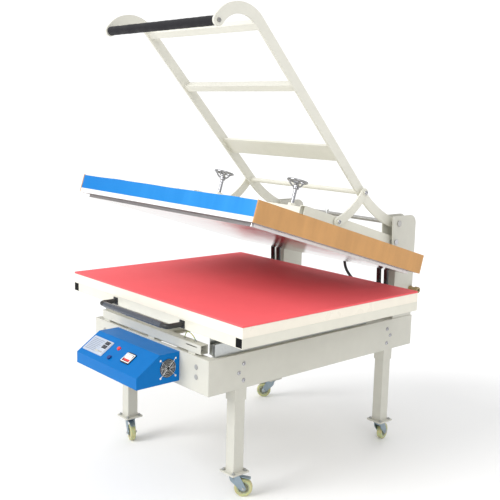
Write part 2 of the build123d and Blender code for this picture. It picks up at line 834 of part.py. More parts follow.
rocker_half = rocker_height / 2 - 2
with BuildPart() as power_rocker:
    with BuildSketch(rocker_plane):
        with BuildLine():
            Polyline(
                (-rocker_half, rocker_low),
                (0, rocker_middle),
                (rocker_half - rocker_clearance, rocker_edge),
                (rocker_half - 3 * rocker_clearance, rocker_low),
                (rocker_root, -rocker_depth),
                (-rocker_root, -rocker_depth),
                close=True,
            )
        make_face()
    extrude(amount=rocker_width / 2 - rocker_clearance, both=True)
    with BuildSketch(rocker_plane):
        Circle(rocker_pin_radius)
    extrude(amount=pin_half, both=True)
save(power_rocker.part, "power_rocker")

with BuildPart() as power_lamp:
    with BuildSketch(slope_plane()):
        with Locations((lamp_x, lamp_v)):
            Circle(lamp_radius)
    extrude(amount=lamp_height, taper=12)
    with BuildSketch(slope_plane()):
        with Locations((lamp_x, lamp_v)):
            Circle(lamp_radius - box_sheet)
    extrude(amount=-lamp_depth)
save(power_lamp.part, "power_lamp")

with BuildPart() as reset_button:
    with BuildSketch(slope_plane(-2 * box_sheet)):
        with Locations((button_x, button_v)):
            Circle(button_radius - key_clearance)
    extrude(amount=2 * box_sheet + button_height)
    with BuildSketch(slope_plane(button_travel + key_clearance)):
        with Locations((button_x, button_v)):
            Circle(button_radius + button_cap_step)
    extrude(amount=button_cap_height)
save(reset_button.part, "reset_button")

# Cooling fan behind the right end, with its square frame, four stator arms, rotor and wire guard.
fan_inner_x = box_width / 2 - box_sheet - fan_depth
with BuildPart() as fan_frame:
    with BuildSketch(Plane.YZ.offset(fan_inner_x)):
        with Locations((fan_y, fan_z)):
            RectangleRounded(fan_size, fan_size, fan_corner)
            Circle(fan_bore, mode=Mode.SUBTRACT)
    extrude(amount=fan_depth)
    with BuildSketch(Plane.YZ.offset(fan_inner_x)):
        with Locations((fan_y, fan_z)):
            Circle(fan_hub_radius)
            Rectangle(fan_arm, 2 * fan_bore + fan_arm / 2)
            Rectangle(2 * fan_bore + fan_arm / 2, fan_arm)
    extrude(amount=fan_arm)
save(fan_frame.part, "fan_frame")

rotor_x = fan_inner_x + fan_arm + rotor_clearance
with BuildPart() as fan_rotor:
    with BuildSketch(Plane.YZ.offset(rotor_x)):
        with Locations((fan_y, fan_z)):
            Circle(fan_hub_radius)
    extrude(amount=fan_depth - fan_arm - 3 * rotor_clearance)
    for i in range(fan_blades):
        blade = Plane(
            origin=(fan_inner_x + fan_depth / 2, fan_y, fan_z),
            x_dir=(sin(radians(fan_blade_pitch)), cos(radians(fan_blade_pitch)), 0),
            z_dir=(0, 0, 1),
        ).rotated((i * 360 / fan_blades, 0, 0))
        with BuildSketch(blade.offset(fan_hub_radius - 2)):
            Rectangle(fan_blade_chord, fan_blade_thickness)
        extrude(amount=fan_bore - fan_hub_radius - rotor_clearance)
save(fan_rotor.part, "fan_rotor")

guard_diagonal = Location((0, 0, 0), (0, 0, 45))
with BuildPart() as fan_guard:
    with BuildSketch(Plane.YZ.offset(box_width / 2)):
        for radius in guard_rings:
            with Locations((fan_y, fan_z)):
                Circle(radius + guard_wire / 2)
                Circle(radius - guard_wire / 2, mode=Mode.SUBTRACT)
        with Locations((fan_y, fan_z)):
            with Locations(guard_diagonal, guard_diagonal.inverse()):
                Rectangle(fan_hole_spacing * 2 ** 0.5, guard_wire)
            with GridLocations(fan_hole_spacing, fan_hole_spacing, 2, 2):
                Circle(guard_screw_radius)
    extrude(amount=guard_thickness)
save(fan_guard.part, "fan_guard")

# ---- lifting frame ------------------------------------------------------------------------------
link_on_lift = lift.to_local_coords(Vector(0, *link_pivot_on_beam))
link_spot = (link_on_lift.Y, link_on_lift.Z)
stud_start = beam_inner_x + beam_width
stud_length = link_inner_x + link_thickness + side_gap - stud_start
with BuildPart() as beams:
    for side in (-1, 1):
        with BuildSketch(lift_side(side * beam_inner_x)):
            with Locations(((beam_front + beam_rear) / 2, 0)):
                Rectangle(beam_rear - beam_front, beam_height)
        extrude(amount=side * beam_width)
        with BuildSketch(lift_side(side * (beam_inner_x + beam_wall))):
            with Locations(((beam_front + beam_rear) / 2, 0)):
                Rectangle(beam_rear - beam_front, beam_height - 2 * beam_wall)
        extrude(amount=side * (beam_width - 2 * beam_wall), mode=Mode.SUBTRACT)
        with BuildSketch(lift_side(side * beam_inner_x)):
            Circle(beam_pin_radius + boss_step)
        extrude(amount=side * beam_width)
        with BuildSketch(lift_side(side * beam_inner_x)):
            Circle(beam_pin_radius + running)
        extrude(amount=side * beam_width, mode=Mode.SUBTRACT)
        # lug and cross pin under the beam that the gas springs push on
        with BuildSketch(lift_side(side * strut_x)):
            with Locations((strut_head[0], (strut_head[1] - beam_height / 2) / 2)):
                Rectangle(2 * strut_eye_radius, -strut_head[1] - beam_height / 2)
            with Locations(strut_head):
                Circle(strut_eye_radius - side_gap)
        extrude(amount=lug_half, both=True)
        with BuildSketch(lift_side(side * strut_x)):
            with Locations(strut_head):
                Circle(strut_pin_radius)
        extrude(amount=strut_offset + strut_eye_width / 2 + pin_overhang, both=True)
        # headed stud that the link's lower end turns on
        for offset, radius, length in (
            (0, stud_radius, stud_length),
            (0, stud_radius + collar_step, link_inner_x - side_gap - stud_start),
            (stud_length, stud_radius + collar_step, stud_head_height),
        ):
            with BuildSketch(lift_side(side * (stud_start + offset))):
                with Locations(link_spot):
                    Circle(radius)
            extrude(amount=side * length)
save(beams.part, "beams")

# Two cross bars between the beams. The front one, over the platen's middle, has the screws' nuts
# welded on.
cover_middle = cover_rear - cover_depth / 2
with BuildPart() as beam_cross_bars:
    for y in (cover_middle, beam_rear - rear_bar_inset):
        with BuildSketch(lift_side(-beam_inner_x)):
            with Locations((y, 0)):
                Rectangle(cross_bar_width, cross_bar_height)
                Rectangle(
                    cross_bar_width - 2 * beam_wall,
                    cross_bar_height - 2 * beam_wall,
                    mode=Mode.SUBTRACT,
                )
        extrude(amount=2 * beam_inner_x)
    with BuildSketch(lift_plane(cover_middle, -cross_bar_height)):
        with Locations((-handwheel_x, 0), (handwheel_x, 0)):
            Circle(screw_radius + side_gap)
    extrude(amount=2 * cross_bar_height, mode=Mode.SUBTRACT)
    with BuildSketch(lift_plane(cover_middle, cross_bar_height / 2)):
        with Locations((-handwheel_x, 0), (handwheel_x, 0)):
            RegularPolygon(nut_radius, 6)
            Circle(screw_radius + running, mode=Mode.SUBTRACT)
    extrude(amount=nut_height)
save(beam_cross_bars.part, "beam_cross_bars")

# ---- heating platen -----------------------------------------------------------------------------
# Sheet cover with two welded collars that the pressure screws push on.
cover_top = cover_bottom + cover_height
shell_width = cover_width - 2 * board_thickness
with BuildPart() as heater_cover:
    with BuildSketch(lift_plane(cover_middle, cover_bottom + trim_height)):
        Rectangle(shell_width, cover_depth)
    extrude(amount=cover_height - trim_height)
    with BuildSketch(lift_plane(cover_middle, cover_bottom + trim_height)):
        Rectangle(shell_width - 2 * cover_sheet, cover_depth - 2 * cover_sheet)
    extrude(amount=cover_height - trim_height - cover_sheet, mode=Mode.SUBTRACT)
    with BuildSketch(lift_plane(cover_middle, cover_top)):
        with Locations((-handwheel_x, 0), (handwheel_x, 0)):
            Circle(collar_radius)
    extrude(amount=collar_height)
    with BuildSketch(lift_plane(cover_middle, cover_top)):
        with Locations((-handwheel_x, 0), (handwheel_x, 0)):
            Circle(screw_radius + running)
    extrude(amount=collar_height, mode=Mode.SUBTRACT)
save(heater_cover.part, "heater_cover")

with BuildPart() as heater_side_boards:
    for side in (-1, 1):
        with BuildSketch(lift_side(side * shell_width / 2)):
            with Locations((cover_middle, cover_bottom + cover_height / 2)):
                Rectangle(cover_depth, cover_height)
        extrude(amount=side * board_thickness)
save(heater_side_boards.part, "heater_side_boards")

# White trim frame round the bottom of the cover.
with BuildPart() as heater_trim:
    with BuildSketch(lift_plane(cover_middle, cover_bottom)):
        Rectangle(shell_width, cover_depth)
        Rectangle(shell_width - 2 * trim_width, cover_depth - 2 * trim_width, mode=Mode.SUBTRACT)
    extrude(amount=trim_height)
save(heater_trim.part, "heater_trim")

plate_width = shell_width - 2 * (trim_width + plate_gap)
plate_depth = cover_depth - 2 * (trim_width + plate_gap)
plate_bottom = cover_bottom - plate_projection
groove_run = plate_width - 2 * groove_inset
groove_width = 2 * (element_radius + element_clearance)
with BuildPart() as heating_plate:
    with BuildSketch(lift_plane(cover_middle, plate_bottom)):
        RectangleRounded(plate_width, plate_depth, plate_corner_radius)
    extrude(amount=plate_thickness)
    with BuildSketch(lift_plane(cover_middle, plate_bottom + plate_thickness)):
        with GridLocations(1, groove_pitch, 1, element_count):
            SlotOverall(groove_run, groove_width)
    extrude(amount=-groove_width, mode=Mode.SUBTRACT)
save(heating_plate.part, "heating_plate")

# Heating rods in the plate's grooves.
with BuildPart() as heating_rods:
    rod_z = plate_bottom + plate_thickness - groove_width / 2
    for i in range(element_count):
        y = cover_middle + (i - (element_count - 1) / 2) * groove_pitch
        with BuildSketch(lift_side(-groove_run / 2 + element_inset)):
            with Locations((y, rod_z)):
                Circle(element_radius)
        extrude(amount=groove_run - 2 * element_inset)
save(heating_rods.part, "heating_rods")

with BuildPart() as insulation_blanket:
    with BuildSketch(lift_plane(cover_middle, plate_bottom + plate_thickness)):
        Rectangle(plate_width - 2 * plate_gap, plate_depth - 2 * plate_gap)
    extrude(amount=blanket_thickness)
save(insulation_blanket.part, "insulation_blanket")

# Chromed handwheels, each one piece with the screw that lowers the platen.
rim_z = cover_top + handwheel_rise
hub_z = rim_z - handwheel_dish
for name, x in (("handwheel_left", -handwheel_x), ("handwheel_right", handwheel_x)):
    wheel_plane = Plane(
        origin=lift.from_local_coords(Vector(x, cover_middle, 0)),
        x_dir=lift.x_dir,
        z_dir=lift.z_dir,
    )
    with BuildPart() as handwheel:
        with BuildSketch(wheel_plane.offset(cover_top)):
            Circle(screw_radius)
        extrude(amount=hub_z - cover_top)
        with BuildSketch(wheel_plane.offset(hub_z - hub_height / 2)):
            Circle(hub_radius)
        extrude(amount=hub_height)
        with BuildSketch(Plane(
            origin=wheel_plane.from_local_coords(Vector(handwheel_radius - rim_radius, 0, rim_z)),
            x_dir=wheel_plane.x_dir,
            z_dir=-wheel_plane.y_dir,
        )):
            Circle(rim_radius)
        revolve(axis=Axis(wheel_plane.origin, wheel_plane.z_dir), revolution_arc=360)
        for turn in spoke_turns:
            out = wheel_plane.x_dir * cos(radians(turn)) + wheel_plane.y_dir * sin(radians(turn))
            start = wheel_plane.origin + wheel_plane.z_dir * hub_z + out * screw_radius
            end = wheel_plane.origin + wheel_plane.z_dir * rim_z + out * (handwheel_radius - rim_radius)
            with BuildSketch(Plane(origin=start, x_dir=out.cross(wheel_plane.z_dir), z_dir=end - start)):
                Rectangle(spoke_width, spoke_thickness)
            extrude(amount=(end - start).length)
    save(handwheel.part, name)

# ---- handle -------------------------------------------------------------------------------------
down_slope = Vector(cos(radians(arm_slope)), -sin(radians(arm_slope)))
across = Vector(sin(radians(arm_slope)), cos(radians(arm_slope)))
pivot_c = Vector(*link_pivot)
arm_start = pivot_c - down_slope * arm_straight
hook_centre = arm_start - across * hook_radius
hook_start_angle = 90 - arm_slope
grip_angle = hook_start_angle + hook_sweep
grip_spot = hook_centre + Vector(cos(radians(grip_angle)), sin(radians(grip_angle))) * hook_radius


def on_arm(distance):
    """Point on the arm's middle line, measured down from the start of the hook."""
    spot = arm_start + down_slope * distance
    return (spot.X, spot.Y)


with BuildPart() as handle_arms:
    for side in (-1, 1):
        with BuildSketch(side_plane(side * arm_inner_x)):
            with BuildLine():
                CenterArc((hook_centre.X, hook_centre.Y), hook_radius, hook_start_angle, hook_sweep)
                straight = Line(on_arm(0), link_pivot)
                TangentArc(link_pivot, arm_pivot, tangent=straight % 1)
            trace(line_width=arm_width)
            with Locations((grip_spot.X, grip_spot.Y), arm_pivot):
                Circle(arm_width / 2)
            with Locations(arm_pivot):
                Circle(shaft_radius + running, mode=Mode.SUBTRACT)
        extrude(amount=side * arm_thickness)
save(handle_arms.part, "handle_arms")

# Two square tubes and a wide flat bar tie the arms together.
with BuildPart() as handle_cross_bars:
    for distance, size in (
        (upper_bar_from_hook, (bar_size, bar_size)),
        (middle_bar_from_hook, (bar_size, bar_size)),
        (wide_bar_from_hook, (wide_bar_height, wide_bar_thickness)),
    ):
        with BuildSketch(Plane(
            origin=(-arm_inner_x, *on_arm(distance)),
            x_dir=(0, down_slope.X, down_slope.Y),
            z_dir=(1, 0, 0),
        )):
            Rectangle(*size)
            if size[0] == size[1]:
                Rectangle(bar_size - 2 * bar_wall, bar_size - 2 * bar_wall, mode=Mode.SUBTRACT)
        extrude(amount=2 * arm_inner_x)
save(handle_cross_bars.part, "handle_cross_bars")

with BuildPart() as handle_grip:
    with BuildSketch(side_plane(-arm_inner_x + grip_end_gap)):
        with Locations((grip_spot.X, grip_spot.Y)):
            Circle(grip_radius)
            Circle(grip_radius - grip_foam, mode=Mode.SUBTRACT)
    extrude(amount=2 * (arm_inner_x - grip_end_gap))
save(handle_grip.part, "handle_grip")

# Steel tube inside the foam grip, with its screws' heads outside the arms.
with BuildPart() as grip_tube:
    with BuildSketch(side_plane(-arm_inner_x)):
        with Locations((grip_spot.X, grip_spot.Y)):
            Circle(grip_radius - grip_foam)
            Circle(grip_radius - grip_foam - grip_tube_wall, mode=Mode.SUBTRACT)
    extrude(amount=2 * arm_inner_x)
    for side in (-1, 1):
        with BuildSketch(side_plane(side * (arm_inner_x + arm_thickness))):
            with Locations((grip_spot.X, grip_spot.Y)):
                RegularPolygon(grip_nut_radius, 6)
        extrude(amount=side * grip_nut_height)
save(grip_tube.part, "grip_tube")

# Round tube between the arms on the links' upper pivots, with its bolts outside the arms.
arm_outer_x = arm_inner_x + arm_thickness
with BuildPart() as link_tube:
    with BuildSketch(side_plane(-arm_inner_x)):
        with Locations(link_pivot):
            Circle(link_tube_radius)
    extrude(amount=2 * arm_inner_x)
    for side in (-1, 1):
        with BuildSketch(side_plane(side * arm_outer_x)):
            with Locations(link_pivot):
                Circle(stud_radius)
        extrude(amount=side * (link_inner_x + link_thickness + side_gap - arm_outer_x))
        with BuildSketch(side_plane(side * arm_outer_x)):
            with Locations(link_pivot):
                Circle(stud_radius + collar_step)
        extrude(amount=side * (link_inner_x - side_gap - arm_outer_x))
        with BuildSketch(side_plane(side * (link_inner_x + link_thickness + side_gap))):
            with Locations(link_pivot):
                Circle(stud_radius + collar_step)
        extrude(amount=side * stud_head_height)
save(link_tube.part, "link_tube")

# Bowed links from the arms to the beams.
link_chord = Vector(*link_pivot_on_beam) - pivot_c
bow_side = Vector(-link_chord.Y, link_chord.X).normalized()
link_middle = (pivot_c + Vector(*link_pivot_on_beam)) / 2 + bow_side * link_bow
with BuildPart() as links:
    for side in (-1, 1):
        with BuildSketch(side_plane(side * link_inner_x)):
            with BuildLine():
                ThreePointArc(link_pivot, (link_middle.X, link_middle.Y), link_pivot_on_beam)
            trace(line_width=link_width)
            with Locations(link_pivot, link_pivot_on_beam):
                Circle(link_width / 2)
            with Locations(link_pivot):
                Circle(stud_radius + running, mode=Mode.SUBTRACT)
            with Locations(link_pivot_on_beam):
                Circle(stud_radius + open_pivot_clearance, mode=Mode.SUBTRACT)
        extrude(amount=side * link_thickness)
save(links.part, "links")

# ---- gas springs --------------------------------------------------------------------------------
head = lift.from_local_coords(Vector(0, *strut_head))
strut_rise = hypot(head.Y - strut_foot[0], head.Z - strut_foot[1])
strut_xs = [side * strut_x + lean * strut_offset for side in (-1, 1) for lean in (-1, 1)]
strut_up = Vector(0, head.Y - strut_foot[0], head.Z - strut_foot[1]).normalized()


def strut_plane(x, distance):
    """Plane across a gas spring at a distance from its foot pin."""
    foot = Vector(x, *strut_foot)
    return Plane(origin=foot + strut_up * distance, x_dir=(1, 0, 0), z_dir=strut_up)


with BuildPart() as gas_spring_cylinders:
    for x in strut_xs:
        with BuildSketch(strut_plane(x, strut_eye_radius - side_gap)):
            Circle(strut_radius)
        extrude(amount=strut_length - strut_eye_radius)
        with BuildSketch(side_plane(x - strut_eye_width / 2)):
            with Locations(strut_foot):
                Circle(strut_eye_radius)
        extrude(amount=strut_eye_width)
        with BuildSketch(side_plane(x - strut_eye_width / 2)):
            with Locations(strut_foot):
                Circle(strut_pin_radius + running)
        extrude(amount=strut_eye_width, mode=Mode.SUBTRACT)
        with BuildSketch(strut_plane(x, strut_floor)):
            Circle(rod_radius + running)
        extrude(amount=strut_length, mode=Mode.SUBTRACT)
save(gas_spring_cylinders.part, "gas_spring_cylinders")

with BuildPart() as gas_spring_rods:
    for x in strut_xs:
        with BuildSketch(strut_plane(x, rod_start)):
            Circle(rod_radius)
        extrude(amount=strut_rise - strut_eye_radius + 2 * side_gap - rod_start)
        with BuildSketch(side_plane(x - strut_eye_width / 2)):
            with Locations((head.Y, head.Z)):
                Circle(strut_eye_radius)
        extrude(amount=strut_eye_width)
        with BuildSketch(side_plane(x - strut_eye_width / 2)):
            with Locations((head.Y, head.Z)):
                Circle(strut_pin_radius + rod_eye_clearance)
        extrude(amount=strut_eye_width, mode=Mode.SUBTRACT)
save(gas_spring_rods.part, "gas_spring_rods")

# ---- castors ------------------------------------------------------------------------------------
crown_top = castor_height - castor_plate_thickness - race_height - swivel_gap
with BuildPart() as castor_plates:
    for spot in leg_spots.values():
        with BuildSketch(Plane.XY.offset(castor_height - castor_plate_thickness)):
            with Locations(spot):
                RectangleRounded(castor_plate, castor_plate, plate_corner)
                with GridLocations(foot_hole_spacing, foot_hole_spacing, 2, 2):
                    Circle(foot_hole_radius, mode=Mode.SUBTRACT)
        extrude(amount=castor_plate_thickness)
        with BuildSketch(Plane.XY.offset(castor_height - castor_plate_thickness - race_height)):
            with Locations(spot):
                Circle(race_radius)
        extrude(amount=race_height)
        with BuildSketch(Plane.XY.offset(crown_top - fork_crown_height)):
            with Locations(spot):
                Circle(kingpin_radius)
        extrude(amount=fork_crown_height + 1)
save(castor_plates.part, "castor_plates")

cheek_x = wheel_width / 2 + fork_gap
pedal_pivot = (pedal_pin_trail, crown_top - pedal_drop)


def castor_plane(name, offset):
    """Plane along a castor's wheel: x along the trail, y up, at an offset along the axle."""
    turn = radians(castor_angles[name])
    trail_dir = Vector(cos(turn), sin(turn), 0)
    axle_dir = Vector(-sin(turn), cos(turn), 0)
    return Plane(origin=Vector(*leg_spots[name], 0) + axle_dir * offset, x_dir=trail_dir, z_dir=-axle_dir)


for name, spot in leg_spots.items():
    with BuildPart() as fork:
        with BuildSketch(Plane.XY.offset(crown_top - fork_crown_height)):
            with Locations(spot):
                Circle(fork_crown_radius)
                Circle(kingpin_radius + running, mode=Mode.SUBTRACT)
        extrude(amount=fork_crown_height)
        for offset in (cheek_x + fork_sheet, -cheek_x):
            with BuildSketch(castor_plane(name, offset)):
                with BuildLine():
                    Polyline(
                        (-fork_crown_radius + cheek_taper, crown_top),
                        (fork_crown_radius - cheek_taper, crown_top),
                        (castor_trail + cheek_round + 1, wheel_radius + cheek_taper),
                        (castor_trail + cheek_round - 1, wheel_radius - cheek_round),
                        (castor_trail - cheek_round + 1, wheel_radius - cheek_round),
                        close=True,
                    )
                make_face()
            extrude(amount=fork_sheet)
        with BuildSketch(castor_plane(name, cheek_x + fork_sheet + axle_overhang)):
            with Locations((castor_trail, wheel_radius)):
                Circle(axle_radius)
        extrude(amount=2 * (cheek_x + fork_sheet + axle_overhang))
        for offset in (cheek_x + fork_sheet + axle_nut_height, -cheek_x - fork_sheet):
            with BuildSketch(castor_plane(name, offset)):
                with Locations((castor_trail, wheel_radius)):
                    RegularPolygon(axle_radius + axle_nut_step, 6)
            extrude(amount=axle_nut_height)
        with BuildSketch(castor_plane(name, cheek_x + fork_sheet)):
            with Locations(pedal_pivot):
                Circle(pedal_pin_radius)
        extrude(amount=2 * (cheek_x + fork_sheet))
    save(fork.part, f"castor_fork_{name}")

    with BuildPart() as wheel:
        with BuildSketch(castor_plane(name, wheel_width / 2)):
            with Locations((castor_trail, wheel_radius)):
                Circle(wheel_radius)
        extrude(amount=wheel_width)
        fillet(wheel.edges().filter_by(GeomType.CIRCLE), tyre_round)
        with BuildSketch(castor_plane(name, wheel_width / 2)):
            with Locations((castor_trail, wheel_radius)):
                Circle(axle_radius + running)
        extrude(amount=wheel_width, mode=Mode.SUBTRACT)
    save(wheel.part, f"castor_wheel_{name}")

    # The pedal's lever and tread, seen along its pin.
    tread_tip = pedal_pivot[0] + pedal_length + 18
    with BuildPart() as pedal:
        with BuildSketch(castor_plane(name, pedal_width / 2)):
            with BuildLine():
                Polyline(
                    (pedal_pivot[0] - 6, pedal_pivot[1] + 5),
                    (pedal_pivot[0] + 30, pedal_pivot[1] + 5),
                    (tread_tip, pedal_pivot[1] - 3),
                    (tread_tip, pedal_pivot[1] - 7),
                    (pedal_pivot[0] + 28, pedal_pivot[1] + 1),
                    (pedal_pivot[0] + 8, pedal_pivot[1] - 5),
                    (pedal_pivot[0] - 6, pedal_pivot[1] - 5),
                    close=True,
                )
            make_face()
            with Locations(pedal_pivot):
                Circle(pedal_pin_radius + running, mode=Mode.SUBTRACT)
        extrude(amount=pedal_width)
    save(pedal.part, f"castor_pedal_{name}")
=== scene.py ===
import json
import math

import bmesh
import bpy
from bpy.props import FloatProperty, FloatVectorProperty, PointerProperty
from mathutils import Matrix, Vector


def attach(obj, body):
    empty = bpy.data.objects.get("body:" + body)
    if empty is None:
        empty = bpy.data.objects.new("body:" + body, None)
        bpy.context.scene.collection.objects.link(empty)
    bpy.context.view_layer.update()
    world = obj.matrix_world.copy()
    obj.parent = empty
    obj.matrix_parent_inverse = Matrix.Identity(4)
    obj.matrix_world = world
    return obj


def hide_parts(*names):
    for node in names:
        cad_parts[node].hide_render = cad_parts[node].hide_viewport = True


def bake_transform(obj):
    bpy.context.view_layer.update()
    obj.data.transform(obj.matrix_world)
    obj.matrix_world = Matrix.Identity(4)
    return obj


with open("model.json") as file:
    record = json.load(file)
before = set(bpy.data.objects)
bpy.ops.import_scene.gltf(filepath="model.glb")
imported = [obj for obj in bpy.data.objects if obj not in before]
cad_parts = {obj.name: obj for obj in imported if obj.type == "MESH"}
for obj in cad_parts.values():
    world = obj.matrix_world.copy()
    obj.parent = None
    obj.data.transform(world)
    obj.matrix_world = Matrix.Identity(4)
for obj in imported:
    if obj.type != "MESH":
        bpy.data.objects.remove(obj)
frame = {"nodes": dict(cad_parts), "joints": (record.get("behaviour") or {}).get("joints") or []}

bl_info = {
    "name": "Heat press finish",
    "version": (1, 0, 0),
    "blender": (4, 5, 0),
    "location": "View3D > Sidebar > Heat press",
    "description": "Finishes and fine pieces for a large-format heat press",
    "category": "Object",
}

NODES = frame["nodes"]
JOINTS = {joint["name"]: joint for joint in frame["joints"]}
CORNERS = ("front_left", "front_right", "rear_left", "rear_right")
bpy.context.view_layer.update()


# ---- places ---------------------------------------------------------------------------------------
def axes_at(origin, x, y, z):
    """A matrix with these axes at that point."""
    place = Matrix((Vector(x), Vector(y), Vector(z))).transposed().to_4x4()
    place.translation = Vector(origin)
    return place


def span(node, place=None):
    """Lowest and highest corner of a CAD node, in a place's own axes."""
    inverse = (place or Matrix.Identity(4)).inverted()
    points = [inverse @ vertex.co for vertex in NODES[node].data.vertices]
    low = Vector([min(p[i] for p in points) for i in range(3)])
    high = Vector([max(p[i] for p in points) for i in range(3)])
    return low, high


def solids(node):
    """Corners of each separate solid in a CAD node."""
    bm = bmesh.new()
    bm.from_mesh(NODES[node].data)
    bmesh.ops.remove_doubles(bm, verts=bm.verts, dist=1e-5)
    found = []
    left = set(bm.verts)
    while left:
        edge = [left.pop()]
        island = list(edge)
        while edge:
            vertex = edge.pop()
            for link in vertex.link_edges:
                other = link.other_vert(vertex)
                if other in left:
                    left.remove(other)
                    edge.append(other)
                    island.append(other)
        low = Vector([min(v.co[i] for v in island) for i in range(3)])
        high = Vector([max(v.co[i] for v in island) for i in range(3)])
        found.append((low, high))
    bm.free()
    return sorted(found, key=lambda box: tuple(round(c, 4) for c in box[0]))


press_axis = Vector(JOINTS["pressure_adjust"]["axis"])
tilt = math.atan2(-press_axis.y, -press_axis.z)
LIFT = Matrix.Translation(JOINTS["platen_tilt"]["pos_m"]) @ Matrix.Rotation(-tilt, 4, "X")

button_axis = Vector(JOINTS["reset_button_press"]["axis"])
rocker_spot = Vector(JOINTS["power_rocker_rock"]["pos_m"])
SLOPE = axes_at(
    (0, rocker_spot.y, rocker_spot.z),
    (1, 0, 0),
    (0, -button_axis.z, button_axis.y),
    -button_axis,
)


def castor_place(corner):
    """Axes of a castor: x along its trail, y along its axle, z up, from the floor under its swivel."""
    swivel = Vector(JOINTS[f"swivel_{corner}"]["pos_m"])
    wheel = Vector(JOINTS[f"roll_{corner}"]["pos_m"])
    trail = Vector((wheel.x - swivel.x, wheel.y - swivel.y, 0)).normalized()
    up = Vector((0, 0, 1))
    return axes_at((swivel.x, swivel.y, 0), trail, up.cross(trail), up)


